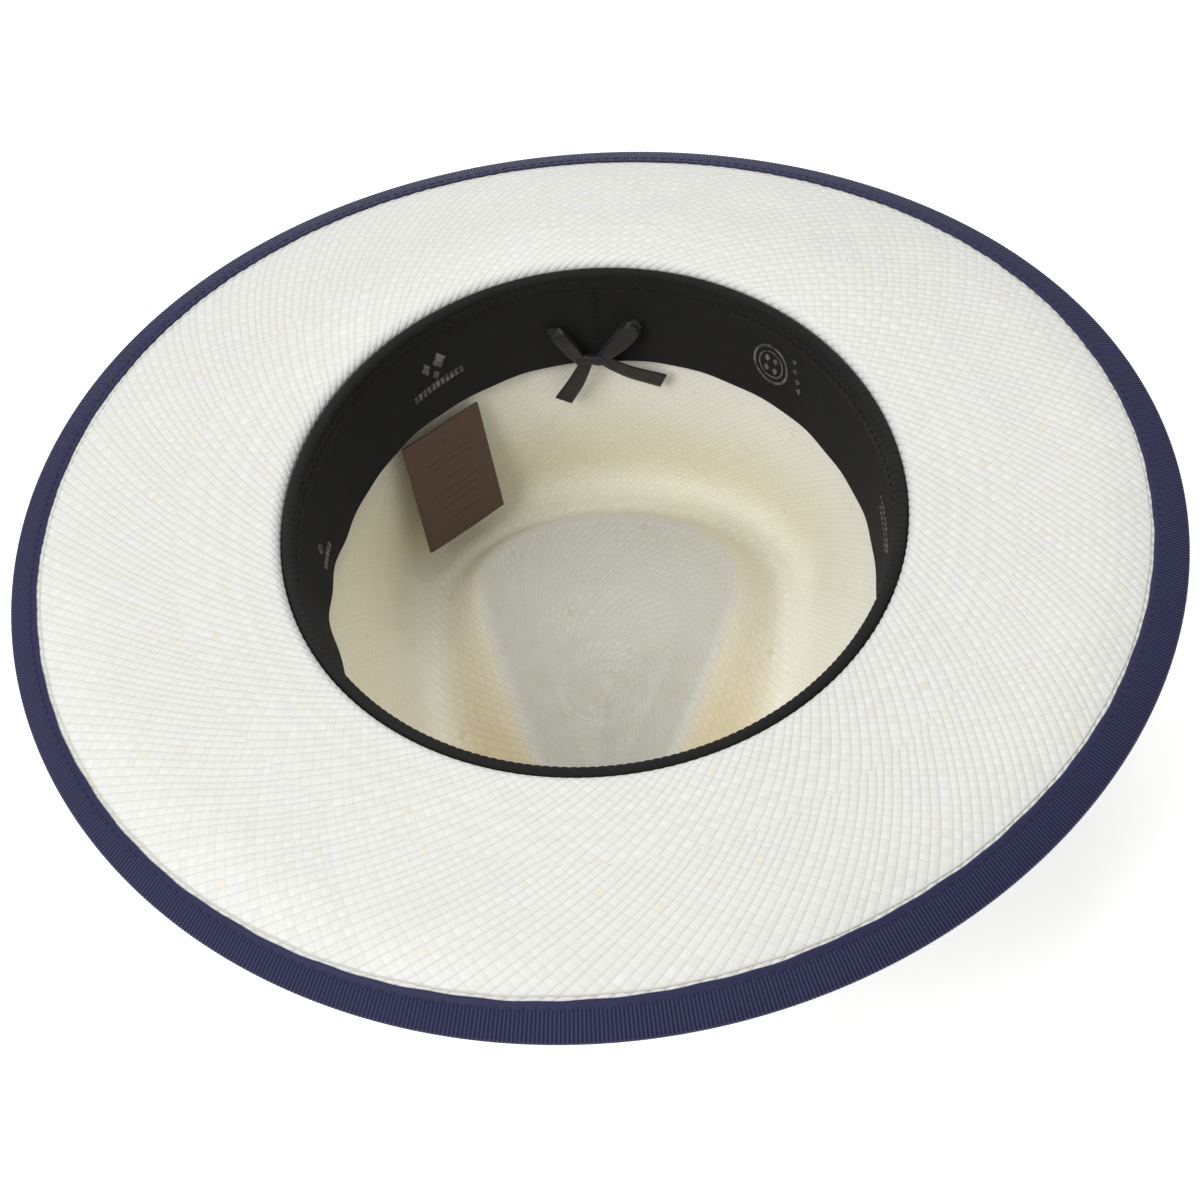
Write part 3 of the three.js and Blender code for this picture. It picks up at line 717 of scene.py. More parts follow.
def plait(zones, start, samples, seed):
    """Rows of points on the lattice of the strands, from u = start through zones of (strands, end).

    Returns each point's phi, u, p, q and strand count, the triangles with their texture places, and
    the first and last rings as their points and phi.
    """
    rng = np.random.default_rng(seed)
    fields, tris, uvs, first, last = [], [], [], None, None
    base, u0 = 0, start
    for strands, end in zones:
        count = strands * samples
        step = PI / count
        if last:
            u0 += step
        rows = max(2, int(round((end - u0) / step)))
        m = np.arange(rows + 1)[:, None]
        n = np.arange(count + 1)[None, :]
        total, apart = (2 * n + m % 2) / samples, m / samples + 0 * n
        p, q = (total + apart) / 2, (total - apart) / 2
        fade = np.clip(np.minimum(m, rows - m) / (2.0 * samples), 0, 1)
        moved_p = p + fade * strand_shift(p, strands, rng)
        moved_q = q + fade * strand_shift(q, strands, rng)
        phi = PI * (moved_p + moved_q) / strands
        u = u0 + PI * (moved_p - moved_q) / strands
        fields.append(np.stack([field[:, :-1].ravel() for field in (phi, u, p, q, strands + 0 * p)]))

        corners = lattice_triangles(rows, count)
        row, column = corners[..., 0], corners[..., 1]
        tris.append(base + row * count + column % count)
        uvs.append(np.stack([p[row, column], q[row, column]], -1))
        ring = base + np.arange(count)
        if last:
            index, angle, which = zipped(last["ring"], last["phi"], ring, phi[0, :-1])
            inward = np.where(which == 0, last["end"], u0) - last["start"]
            tris.append(index)
            uvs.append(np.stack([angle + inward, angle - inward], -1) * last["strands"] / (2 * PI))
        else:
            first = dict(ring=ring, phi=phi[0, :-1])
        last = dict(ring=ring + rows * count, phi=phi[rows, :-1], strands=strands)
        last.update(start=u0, end=u0 + rows * step)
        u0 = last["end"]
        base += count * (rows + 1)
    return np.concatenate(fields, 1), np.concatenate(tris), np.concatenate(uvs), first, last


def relief_height(u, strands):
    """Depth of the gaps, in proportion to the cells."""
    radius = np.interp(u, PATH_U, PATH_RADIUS)
    cell = np.sqrt(2) * PI * radius / strands
    return np.clip(0.09 * cell, 0.05, 0.25)


def rosette(points):
    """Waves of the first woven rounds, in the middle of the crown."""
    r = np.hypot(points[:, 0], points[:, 1])
    return near(r, 9.0, 15.0) * np.cos(2 * PI * r / 4.4)


def straw_tint(a, t, points, rounds, strength):
    """Broad colour of the straw, with painted light and shade inside the crown: whiter brim, creamier crown,
    a painted glow and painted highlights on the lit walls, painted warm shade in the grooves and low on the
    walls, and a darker dent floor.
    """
    tint = np.ones((len(t), 3))
    # Creamier deeper in the crown: partly the straw's own colour, partly painted warm light shining through
    # the straw.
    depth = smooth(t / 0.25)[:, None]
    tint = mix(tint, np.array([1.015, 1.0, 0.93]), depth)
    # Painted glow: the left wall is painted warmer, as where the lamp on the left shines through the straw.
    left = (near(np.mod(a, 2 * PI), 2.9, 1.5) * near(t, 0.66, 0.5))[:, None] * strength
    tint = mix(tint, tint * np.array([1.05, 1.015, 0.87]), left)
    # Painted highlight: the upper back wall is painted whiter, as where it faces the lamps.
    lit_high_back = (smooth(np.sin(a)) * near(t, 0.35, 0.4))[:, None] * strength
    tint = mix(tint, tint * np.array([1.025, 1.04, 1.09]), lit_high_back)
    # Painted shade: the lower back wall, near the groove, is painted darker and warmer.
    shaded_low_back = (smooth(np.sin(a)) * near(t, 0.86, 0.3))[:, None] * strength
    tint = mix(tint, tint * np.array([0.92, 0.895, 0.8]), shaded_low_back)
    # Painted warm shade: the grooves round the dent are painted darker and orange, most at the front.
    front = 0.3 + 0.7 * smooth(0.5 - 0.8 * np.sin(a))
    groove = (smooth((t - 0.98) / 0.3) * smooth((1.66 - t) / 0.22) * front)[:, None] * strength
    tint = mix(tint, np.array([0.93, 0.79, 0.54]), groove * 0.9)
    # Painted warm shade and bounced light: the lower front wall is painted warmer and a little darker.
    warm_bounce_front = (near(t, 0.95, 0.5) * smooth(0.25 - 1.1 * np.sin(a)))[:, None] * strength
    tint = mix(tint, tint * np.array([1.0, 0.945, 0.82]), warm_bounce_front)
    # The dent's floor: greyer straw with a random mottle, painted darker as painted shade deep in the crown,
    # and a little lighter towards the back.
    island = smooth((t - 1.44) / 0.2)[:, None] * strength
    x, y = points[:, 0], points[:, 1]
    mottle = np.sin(x / 3.7 + 1.4 * np.sin(y / 6.1)) * np.sin(y / 3.1 + 1.1 * np.sin(x / 5.3))
    aged = 0.5 + 0.5 * mottle * near(y, -6, 40)
    pale = np.array([0.68, 0.675, 0.635]) + 0.045 * smooth(y / 40)[:, None] * np.array([1, 1, 1.15])
    tint = mix(tint, mix(pale, np.array([0.65, 0.635, 0.56]), aged[:, None]), island)
    tint = tint * (1 + 0.02 * rounds)[:, None]
    lit_back = (smooth(np.sin(a)) * near(t, -0.12, 0.3))[:, None]
    tint = tint * (1 + 0.05 * lit_back)
    rings = np.where(t < 0, near(t, -0.2, 0.24) * np.cos(2 * PI * t * 72 / 6.0), 0)
    return tint * (1 + 0.018 * rings)[:, None]


def straw_side(zones, start, samples, seed, upper):
    (phi, u, p, q, strands), tris, uv, first, last = plait(zones, start, samples, seed)
    t = np.interp(u, PATH_U, PATH_T)
    a = angle_of(phi)
    normal = meridian_normal(a, t)
    sunk = relief_height(u, strands) * (1 - pillow(p, q))
    lift = -sunk if upper else sunk - STRAW
    loose = 0.22 * near(t, -0.5, 0.38) * (np.sin(3 * a + 1 + 5 * t) + 0.7 * np.sin(7 * a - 4 * t))
    smooth_points = meridian(a, t)
    rounds = rosette(smooth_points)
    points = smooth_points + normal * (lift + loose + 0.16 * rounds)[:, None]
    tint = straw_tint(a, t, points, rounds, 1.0 if upper else 0.15)
    return dict(points=points, tris=tris, uv=uv, first=first, last=last, tint=tint)


def straw_shell(name, material, upper, lower, poles):
    """Joins the two sides of the straw into one closed shell, with a pole in the middle or an edge there."""
    shift = len(upper["points"])
    points = np.concatenate([upper["points"], lower["points"]])
    tint = np.concatenate([upper["tint"], lower["tint"]])
    tris = [upper["tris"], lower["tris"][:, ::-1] + shift]
    uvs = [upper["uv"], lower["uv"][:, ::-1]]
    for end in ["first"] if poles else ["first", "last"]:
        above, below = upper[end], lower[end]
        index, angle, _ = zipped(above["ring"], above["phi"], below["ring"] + shift, below["phi"])
        tris.append(index[:, ::-1] if end == "first" else index)
        uvs.append(np.stack([angle, angle], -1) * BRIM_STRANDS / (2 * PI))
    if poles:
        for side, offset, order in ((upper, 0, 1), (lower, shift, -1)):
            ring = side["last"]["ring"]
            pole = len(points)
            points = np.concatenate([points, [side["points"][ring].mean(0)]])
            tint = np.concatenate([tint, side["tint"][ring[:1]]])
            fan = np.stack([ring + offset, np.roll(ring, -1) + offset, np.full(len(ring), pole)], -1)
            tris.append(fan[:, ::order])
            uvs.append(np.full((len(fan), 3, 2), 0.5))
    faces, uv = np.concatenate(tris), np.concatenate(uvs)
    if not facing_out(points - points.mean(0), [faces]):
        faces, uv = faces[:, ::-1], uv[:, ::-1]
    piece = build(name, points, [faces], material, "straw", uv=uv, tint=tint)
    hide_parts("straw_body")


# Strands, and the radius of the ring where they end.
CROWN_COUNTS = [(128, 30.0), (64, 15.0), (32, 7.5), (16, 3.0)]


def crown_zones(ridge_t):
    zones = [(BRIM_STRANDS, u_at(ridge_t))]
    return zones + [(n, u_at_radius(radius)) for n, radius in CROWN_COUNTS]


def make_straw():
    inner_seam, outer_seam = 5.0 / 82, 14.0 / 82  # hidden under the sweatband and under the hatband
    change = u_at(-0.4)
    brim_top = straw_side([(BRIM_STRANDS, change), (INNER_STRANDS, u_at(inner_seam))], 0.0, 4, 11, True)
    brim_low = straw_side([(BRIM_STRANDS, change), (INNER_STRANDS, u_at(outer_seam))], 0.0, 2, 12, False)
    straw_shell("straw_brim", MATERIALS["brim"], brim_top, brim_low, False)
    crown_in = straw_side(crown_zones(1.0), u_at(inner_seam), 2, 13, True)
    crown_out = straw_side(crown_zones(1.0), u_at(outer_seam), 2, 14, False)
    straw_shell("straw_crown", MATERIALS["crown"], crown_in, crown_out, True)


# ---- ribbon round the brim's edge ------------------------------------------------------------
def ribbed(x):
    """Height of the ribs, 0 to 1, x millimetres along the ribbon."""
    return 0.5 - 0.5 * np.cos(2 * PI * x / RIB)


def ring_length(points):
    steps = np.linalg.norm(np.roll(points, -1, 0) - points, axis=-1)
    return np.concatenate([[0], np.cumsum(steps)])


def rim_frame(a):
    """The brim's edge, with the directions into the brim and up from it."""
    edge = meridian(a, -1.0)
    inward = unit(brim(a, rim_reach(a) - 1.0) - edge)
    return edge, inward, upwards(unit(np.cross(inward, tangent(a))))


def over_brim(a, i, lift):
    """A point i in from the brim's edge and lift above its upper side (below it where negative)."""
    s = rim_reach(a) - i
    slope = unit(brim(a, s - 0.5) - brim(a, s + 0.5))
    return brim(a, s) + upwards(unit(np.cross(tangent(a), -slope))) * np.asarray(lift)[..., None]


def cover_at(a):
    """How far the ribbon reaches in over the brim: least at the front on the wearer's left."""
    narrowest = near(a, np.radians(BINDING["narrowest"]), np.radians(90))
    return BINDING["cover"] - BINDING["narrower"] * narrowest


def make_binding():
    per_rib = 4
    ribs = int(round(BINDING["rim"] / RIB))
    a = angle_of(around(per_rib * ribs))
    length = ring_length(meridian(a, -1.0))
    length = length * RIB * ribs / length[-1]
    rib = BINDING["rib"] * (ribbed(length[:-1]) - 0.5)
    wave = 0.06 * np.sin(31 * a) + 0.07 * np.sin(73 * a + 2) + 0.06 * np.sin(17 * a + 1)
    cover = cover_at(a) + wave
    edge, inward, up = rim_frame(a)
    cloth = BINDING["thick"] * 0.62
    top = GAP / 2 + cloth
    radius = STRAW / 2 + GAP + cloth

    def leaf(share, lift, ribs_show, below):
        offset = lift + ribs_show * rib
        return over_brim(a, cover * share, -STRAW - offset if below else offset)

    def bend(turn, r, ribs_show):
        """Round the edge: turn is 90 on top, 0 outwards and -90 underneath."""
        c, s = np.cos(np.radians(turn)), np.sin(np.radians(turn))
        r = r + ribs_show * rib
        return edge + up * (s * r - STRAW / 2)[:, None] - inward * (0.62 * c * r)[:, None]

    # Each leaf from its selvage to the edge: share of the cover, share of the height, whether ribbed.
    leaves = [
        (1.0, 0.62, 0), (0.985, 0.8, 0), (0.93, 0.86, 0), (0.84, 0.8, 0),
        (0.76, 0.8, 0), (0.7, 0.97, 1), (0.45, 1, 1), (0.2, 1.05, 1),
    ]
    outer = [leaf(share, top * height, ribs_show, False) for share, height, ribs_show in leaves]
    outer += [bend(turn, radius, 1) for turn in (90, 58, 25, -8, -40, -70, -90)]
    outer += [leaf(share, top * height, ribs_show, True) for share, height, ribs_show in leaves[::-1]]
    inner = [leaf(1.0, 0.08, 0, True), leaf(0.1, 0.2, 0, True), bend(0, STRAW / 2 + 0.25, 0)]
    inner += [leaf(0.1, 0.2, 0, False), leaf(1.0, 0.08, 0, False)]
    sections = np.stack(outer + inner, 1)
    across = np.concatenate([[0], np.cumsum(np.linalg.norm(np.diff(sections[0], axis=0), axis=-1)), [0]])
    across[len(outer):-1] = 0.5
    piece = swept("brim_binding", sections, MATERIALS["binding"], "grosgrain", length, across)
    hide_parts("brim_binding")


def stitches(node, at, count, fill, radius, material, slot):
    """Separate stitches in a row: at(share, lift) gives points of the seam, share from 0 to 1."""
    stations = np.linspace(0, 1, 9)
    sides = 8
    turn = around(sides)
    arch = np.sin(PI * stations)
    r = radius * (0.45 + 0.55 * arch**0.6)
    tubes = []
    for k in range(count):
        share = (k + 0.5 + fill * (stations - 0.5)) / count
        seam = at(share, 0 * share)
        centre = at(share, radius * (1.15 * arch - 0.55))
        ahead = unit(at(share + 0.02 / count, 0 * share) - at(share - 0.02 / count, 0 * share))
        lifted = unit(at(share, 0 * share + 1) - seam)
        side = np.cross(ahead, lifted)
        spoke = np.cos(turn)[None, :, None] * side[:, None] + np.sin(turn)[None, :, None] * lifted[:, None]
        ring = centre[:, None] + r[:, None, None] * spoke
        tubes.append(tube(ring, stations * 2.5, np.arange(sides + 1.0), False))
    piece = joined(node, tubes, material, slot)
    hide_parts(node)


def make_binding_stitching():
    def seam(share, lift):
        a = angle_of(2 * PI * share)
        return over_brim(a, cover_at(a) - 1.6, 0.78 + lift)

    stitches("binding_stitching", seam, 344, 0.62, 0.17, MATERIALS["navy_thread"], "navy_thread")


def make_hem_cord():
    """The straw cord at the end of the weave, just inside the ribbon."""
    a = angle_of(around(HEM_CORD["stations"]))
    wave = 0.08 * np.sin(23 * a) + 0.06 * np.sin(57 * a)
    centre = cover_at(a) + HEM_CORD["beyond"] + wave
    ring = []
    for t in around(HEM_CORD["sides"]):
        height = HEM_CORD["half_height"] * np.sin(t) - 0.04
        ring.append(over_brim(a, centre + HEM_CORD["half_width"] * np.cos(t), height + 0 * a))
    sections = np.stack(ring, 1)
    across = np.arange(HEM_CORD["sides"] + 1) * 0.8
    swept("hem_cord", sections, MATERIALS["hem_thread"], "straw", ring_length(sections[:, 0]), across)


# ---- sweatband -------------------------------------------------------------------------------
def top_roll(drop):
    """How far the band stands in further near its sewn edge, where it rolls over the reed."""
    return SWEAT["roll"] * (1 - smooth(band_share(drop) / SWEAT["roll_end"]))


def make_sweatband():
    a = angle_of(around(1440))
    drops = np.append(np.linspace(SWEAT["start"], SWEAT["height"] - 0.5, 26), SWEAT["height"])
    ripple = band_ripple(a)
    slack = 0.18 * np.sin(13 * a) + 0.12 * np.sin(29 * a + 1)

    def skin(depth):
        rows = []
        for drop, share in zip(drops, band_share(drops)):
            puckered = 0.12 * np.sin(a * 190) * (1 - smooth(share / 0.16))
            inset = band_inset(a, drop) + top_roll(drop) + (ripple + slack) * share**2 - depth
            rows.append(inside(a, inset + puckered, drop + 0.7 * ripple * share**3))
        return rows

    inner, outer = skin(0.0), skin(SWEAT["thick"] * 0.75)
    hem = band_inset(a, SWEAT["height"]) + ripple + slack - 0.34
    bead = [inside(a, hem, SWEAT["height"] + 0.3 + 0.7 * ripple)]
    sections = np.stack(inner + bead + outer[::-1], 1)
    across = np.concatenate([drops, [drops[-1] + 0.4], drops[::-1] + 40, [43.0]])
    piece = swept("sweatband", sections, MATERIALS["cloth"], "band_cloth", ring_length(headline(a)), across)
    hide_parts("sweatband")


def make_reed():
    """The rolled edge, drawn in to small puffs by its stitches."""
    per_lobe, sides = 12, 12
    count = REED["lobes"] * per_lobe
    a = angle_of(around(count))
    puff = np.abs(np.sin(np.arange(count) * PI / per_lobe)) ** 0.7
    ring = []
    for t in around(sides):
        reach = REED["half_width"] + REED["puff"] * puff * (np.cos(t) > 0)
        height = REED["half_height"] + REED["rise"] * puff
        ring.append(inside(a, REED["inset"] + reach * np.cos(t), REED["drop"] - height * np.sin(t)))
    sections, across = np.stack(ring, 1), np.arange(sides + 1) * 0.55
    length = ring_length(headline(a))
    piece = swept("sweatband_reed", sections, MATERIALS["cloth"], "band_cloth", length, across)
    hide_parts("sweatband_reed")


def make_band_stitching():
    def seam(share, lift):
        a = angle_of(2 * PI * share)
        return inside(a, band_inset(a, STITCH_DROP) + 0.9 * SWEAT["roll"] + 0.2 + lift, STITCH_DROP)

    def back_seam(share, lift):
        drop = 6.0 + 22.0 * share
        a = BACK + 0.015 + 0.006 * np.cos(share * 2 * PI * 11)
        return inside(a, band_inset(a, drop) + top_roll(drop) + 0.12 + lift, drop)

    thread = MATERIALS["black_thread"]
    stitches("sweatband_stitching", seam, 191, 0.7, 0.2, thread, "black_thread")
    stitches("sweatband_seam_thread", back_seam, 11, 0.95, 0.15, thread, "black_thread")


# ---- printed marks on the sweatband, plain generic shapes ------------------------------------
def bar(x, y, half_x, half_y):
    return [(x + i * half_x, y + j * half_y) for i, j in ((-1, -1), (1, -1), (1, 1), (-1, 1))]


def lozenge(x, y, half_x, half_y):
    return [(x - half_x, y), (x, y - half_y), (x + half_x, y), (x, y + half_y)]


def ring_parts(x, y, r, width, count=28):
    parts = []
    for k in range(count):
        a0, a1 = 2 * PI * k / count, 2 * PI * (k + 1) / count
        parts.append([
            (x + radius * np.cos(a), y + radius * np.sin(a))
            for radius, a in ((r - width, a0), (r, a0), (r, a1), (r - width, a1))
        ])
    return parts


def marks():
    """Name, angle, drop, lean and the shapes of each mark. x is to the wearer's right, y is up."""
    sprig = [lozenge(-2.6, 3.4, 1.5, 2.3), lozenge(2.4, 3.6, 2.4, 2.8), lozenge(0.2, -0.4, 1.3, 1.6)]
    underline = [bar(1.75 * k, -3.6, 0.62, 1.15) for k in range(-5, 6)]
    medal = ring_parts(0, 0, 6.6, 0.8) + ring_parts(0, 0, 4.6, 0.45, 22)
    medal += [lozenge(x, y, 1.0, 1.25) for x in (-1.6, 1.6) for y in (-1.7, 1.7)]
    medal += [lozenge(9.2 + 1.2 * k, 3.2 - 2.9 * k, 1.1, 1.1) for k in range(3)]
    medal += [lozenge(8.4, 6.3, 0.9, 0.9)]
    side = [lozenge(0, 2.4, 1.8, 2.0)] + [bar(1.7 * k, -1.8, 0.6, 1.0) for k in range(-3, 4)]
    dashes = [bar(1.9 * k, 0, 0.55, 0.5) for k in range(-5, 6)]
    dashes += [bar(1.9 * k, -2.2, 0.55, 0.4) for k in range(-4, 5)]
    return [
        ("left_back", 124.6, 18.8, 0.06, sprig + underline),
        ("right_back", 54.6, 18.6, -0.05, medal),
        ("left_side", 170.4, 25.4, 0.1, side),
        ("right_side", 9.5, 19.6, -0.15, dashes),
    ]


def make_marks():
    for name, angle, drop, lean, shapes in marks():
        a0 = np.radians(angle)
        speed = float(np.linalg.norm(headline(a0 + 0.01) - headline(a0 - 0.01)) / 0.02)
        points, faces = [], []
        for shape in shapes:
            flat = np.array(shape)
            x = flat[:, 0] * np.cos(lean) - flat[:, 1] * np.sin(lean)
            y = flat[:, 0] * np.sin(lean) + flat[:, 1] * np.cos(lean)
            a, d = a0 - x / speed, drop - y
            ripple = band_ripple(a) * band_share(d) ** 2
            base = len(points)
            for depth in (0.22, 0.05):
                points += list(inside(a, band_inset(a, d) + ripple + depth, d))
            faces += [[base, base + 1, base + 2, base + 3], [base + 7, base + 6, base + 5, base + 4]]
            faces += [[base + k, base + 4 + k, base + 4 + (k + 1) % 4, base + (k + 1) % 4] for k in range(4)]
        points, faces = np.array(points), [np.array(faces)]
        if not facing_out(points[:8] - points[:8].mean(0), [faces[0][:6]]):
            faces = [faces[0][:, ::-1]]
        uv = np.zeros((faces[0].size, 2))
        build("band_mark_" + name, points, faces, MATERIALS["foil"], "band_cloth", uv=uv, sharp=30)


# ---- little tied bow -------------------------------------------------------------------------
def spline(points, count):
    """A smooth curve through points, by Catmull-Rom, with even parameter steps."""
    points = np.asarray(points, float)
    padded = np.vstack([2 * points[0] - points[1], points, 2 * points[-1] - points[-2]])
    at = np.linspace(0, len(points) - 1 - 1e-9, count)
    k = at.astype(int)
    f = (at - k)[:, None]
    p0, p1, p2, p3 = (padded[k + j] for j in range(4))
    square, cube = 2 * p0 - 5 * p1 + 4 * p2 - p3, 3 * p1 - p0 - 3 * p2 + p3
    return 0.5 * (2 * p1 + (p2 - p0) * f + square * f**2 + cube * f**3)


# The narrow ribbon's cross-section, in shares of its half width and half thickness.
RIBBON_SECTION = [
    (-1, 0), (-0.93, 1), (-0.5, 1.15), (0, 1), (0.5, 1.15), (0.93, 1),
    (1, 0), (0.93, -1), (0.5, -0.85), (0, -1), (-0.5, -0.85), (-0.93, -1),
]


def ribbon_sections(path, wide, thick, count=40):
    """Flat ribbon through path, rows of (x, y, z, half width share, turn in radians)."""
    line = spline(path, count)
    centre, share, turn = line[:, :3], line[:, 3], line[:, 4]
    ahead = unit(np.gradient(centre, axis=0))
    facing = np.array([0.0, -1.0, 0.0])
    side = unit(np.cross(ahead, facing + 0 * ahead))
    normal = np.cross(side, ahead)
    c, s = np.cos(turn)[:, None], np.sin(turn)[:, None]
    side, normal = side * c + normal * s, normal * c - side * s
    half = (wide / 2 * share)[:, None]
    lip = thick / 2
    rings = [centre + side * half * x + normal * lip * y for x, y in RIBBON_SECTION]
    return np.stack(rings, 1), ring_length(centre)


def bow_loop(base, tip, swell):
    """Out along the front and back behind it. Base and tip are (x, z); swell bows the middle upwards."""
    # Share of the way out, depth, share of the swell, share of the width, turn.
    stations = [
        (-0.12, -0.6, 0, 0.62, 0), (0.22, -1.6, 0.5, 0.9, 0.15), (0.6, -2.2, 1.0, 1.1, 0.3),
        (0.92, -1.8, 0.4, 1.05, 0.15), (1.02, -0.4, 0, 0.98, 0), (0.9, 0.7, -0.3, 1.0, -0.15),
        (0.55, 0.8, -0.2, 0.95, -0.15), (0.2, 0.7, 0, 0.8, 0), (-0.12, 0.4, 0, 0.62, 0),
    ]
    return [
        (mix(base[0], tip[0], share), depth, mix(base[1], tip[1], share) + raised * swell, width, turn)
        for share, depth, raised, width, turn in stations
    ]


def bow_tail(base, tip, twist):
    # Share of the way out, depth, share of the width, share of the twist, sag.
    stations = [
        (-0.1, 0.1, 0.7, 0, 0), (0.2, -1.0, 0.95, 1.0, 0.2), (0.5, -1.3, 1.12, 1.2, 0.35),
        (0.78, -0.9, 1.12, 0.6, 0.2), (1.0, -0.7, 1.12, 0.2, 0),
    ]
    return [
        (mix(base[0], tip[0], share), depth, mix(base[1], tip[1], share) - sag, width, turn * twist)
        for share, depth, width, turn, sag in stations
    ]


def bow_knot(centre):
    """The ribbon's crossing: a short drum with creases, laid level and a little tilted."""
    over, round_it, texture = 13, 28, 0.35
    v = np.linspace(0.12, PI - 0.12, over)[:, None]
    h = around(round_it)[None, :]
    crease = 1 + 0.07 * np.cos(3 * h + 1.2 * np.cos(v)) + 0.05 * np.sin(7 * v)
    drum = vec(
        5.0 * np.cos(v) + 0 * h,
        1.7 * np.sin(v) ** 0.7 * np.cos(h) * crease,
        (2.0 + 0.3 * np.cos(2 * v)) * np.sin(v) ** 0.5 * np.sin(h) * crease,
    )
    tilt = np.array(Matrix.Rotation(np.radians(-10), 3, "Y"))
    sections = drum @ tilt + centre + np.array([0.2, -0.5, 0.9])
    points, quads, uv = tube(sections, np.arange(over) * texture, np.arange(round_it + 1) * texture, False)
    return points, quads, uv[..., ::-1]


def make_bow():
    back = HEAD["half_length"] - band_inset(BACK, SWEAT["height"]) - GAP
    centre = np.array([BOW["x"], back - 1.9, BOW["z"]])
    wide = BOW["ribbon"]
    paths = [
        bow_loop((-3.4, 0.6), (-10.0, 12.0), 0.9), bow_loop((4.0, 2.0), (13.2, 13.6), 0.5),
        bow_tail((-1.8, -0.8), (-9.4, -15.4), 0.15), bow_tail((3.2, 0.4), (21.0, -8.6), -0.12),
    ]
    tubes = []
    for path in paths:
        sections, length = ribbon_sections(path, wide, 0.5)
        tubes.append(tube(sections + centre, length, np.arange(len(RIBBON_SECTION) + 1) * wide / 6, False))
    piece = joined("sweatband_bow", tubes + [bow_knot(centre)], MATERIALS["satin"], "black_ribbon")
    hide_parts("sweatband_bow")


# ---- label -----------------------------------------------------------------------------------
def label_frame():
    a = np.radians(LABEL_TURN["corner"])
    heading = np.radians(LABEL_TURN["heading"])
    hem = SWEAT["height"]
    left = inside(a, band_inset(a, hem) - SWEAT["thick"] / 2, hem + LABEL["pivot_drop"])
    level = np.array([np.cos(heading), np.sin(heading), 0.0])
    inward = np.array([level[1], -level[0], 0.0])
    fall = inward * np.sin(LABEL_TURN["lean"]) - UP * np.cos(LABEL_TURN["lean"])
    c, d = np.cos(LABEL_TURN["twist"]), np.sin(LABEL_TURN["twist"])
    along, down = level * c + fall * d, fall * c - level * d
    return left, along, down, np.cross(along, down)


def label_outline(share, bend, x):
    """Section of the folded label, share of the way down: outside, then inside, as (across, proud)."""
    leaf, spread, least = 0.34, 0.42, 0.15
    width = LABEL["width"]
    gap = spread * (1 - 0.35 * x / width)
    curl = 0.5 * 0.55 * share**2 * np.sin(PI * x / width)
    front, rear = np.stack([x, curl + gap], -1)[::-1], np.stack([x, curl - gap], -1)
    fold = np.stack([-0.63 * np.sin(bend) - 0.05, 1.35 * spread * np.cos(bend)], -1)
    crease = np.linspace(leaf / 2 - spread, spread - leaf / 2, len(bend) + 2)[1:-1]
    outside = [front + [0, leaf / 2], fold, rear - [0, leaf / 2]]
    middle = np.stack([0 * crease, crease], -1)
    within = np.concatenate([rear[::-1] + [0, leaf / 2], middle, front[::-1] - [0, leaf / 2]])
    within[:, 0] = np.maximum(within[:, 0], least)
    return np.concatenate(outside + [within])


def make_label_flap():
    left, along, down, face = label_frame()
    if face @ np.array([left[0], left[1], 0.0]) > 0:
        face = -face
    x = np.linspace(0, LABEL["width"], 30)
    bend = np.linspace(0.5, PI - 0.5, 6)
    rows = np.linspace(0.5, LABEL["length"], 48)
    sections = []
    for row in rows:
        outline = label_outline(row / LABEL["length"], bend, x)
        sections.append(left + down * row + outline[:, :1] * along + outline[:, 1:] * face)
    across = np.concatenate([x[::-1], np.linspace(0, -1, 6), x, x[::-1], 0 * bend, x, [LABEL["width"]]])
    points, quads, uv = tube(np.array(sections), rows, across, False)
    uv = uv[..., ::-1]  # the texture's x runs across the label and its y down it
    piece = build(
        "label_flap", points, [quads], MATERIALS["label"], "label_cloth", uv=uv, body="label", sharp=50
    )
    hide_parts("label_flap")


def make_label_tab():
    """The strip sewn in behind the sweatband, from which the flap hangs."""
    count = 30
    a = np.radians(np.linspace(LABEL["start"], LABEL["end"], count))
    drops = np.linspace(17, SWEAT["height"] - 0.4, 12)
    behind = SWEAT["thick"] + GAP
    front = [inside(a, band_inset(a, d) - behind, d) for d in drops]
    rear = [inside(a, band_inset(a, d) - behind - 0.6, d) for d in drops[::-1]]
    across = np.concatenate([drops, drops[::-1], drops[:1]]) + 40
    piece = swept(
        "label_tab", np.stack(front + rear, 1), MATERIALS["label"], "label_cloth",
        np.arange(count) * 0.95, across, closed=False, sharp=50,
    )
    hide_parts("label_tab")


# ---- ribbon round the crown and its flat side bow --------------------------------------------
def side_angle(along):
    return PI - along / (HEAD["half_length"] * 1.05)


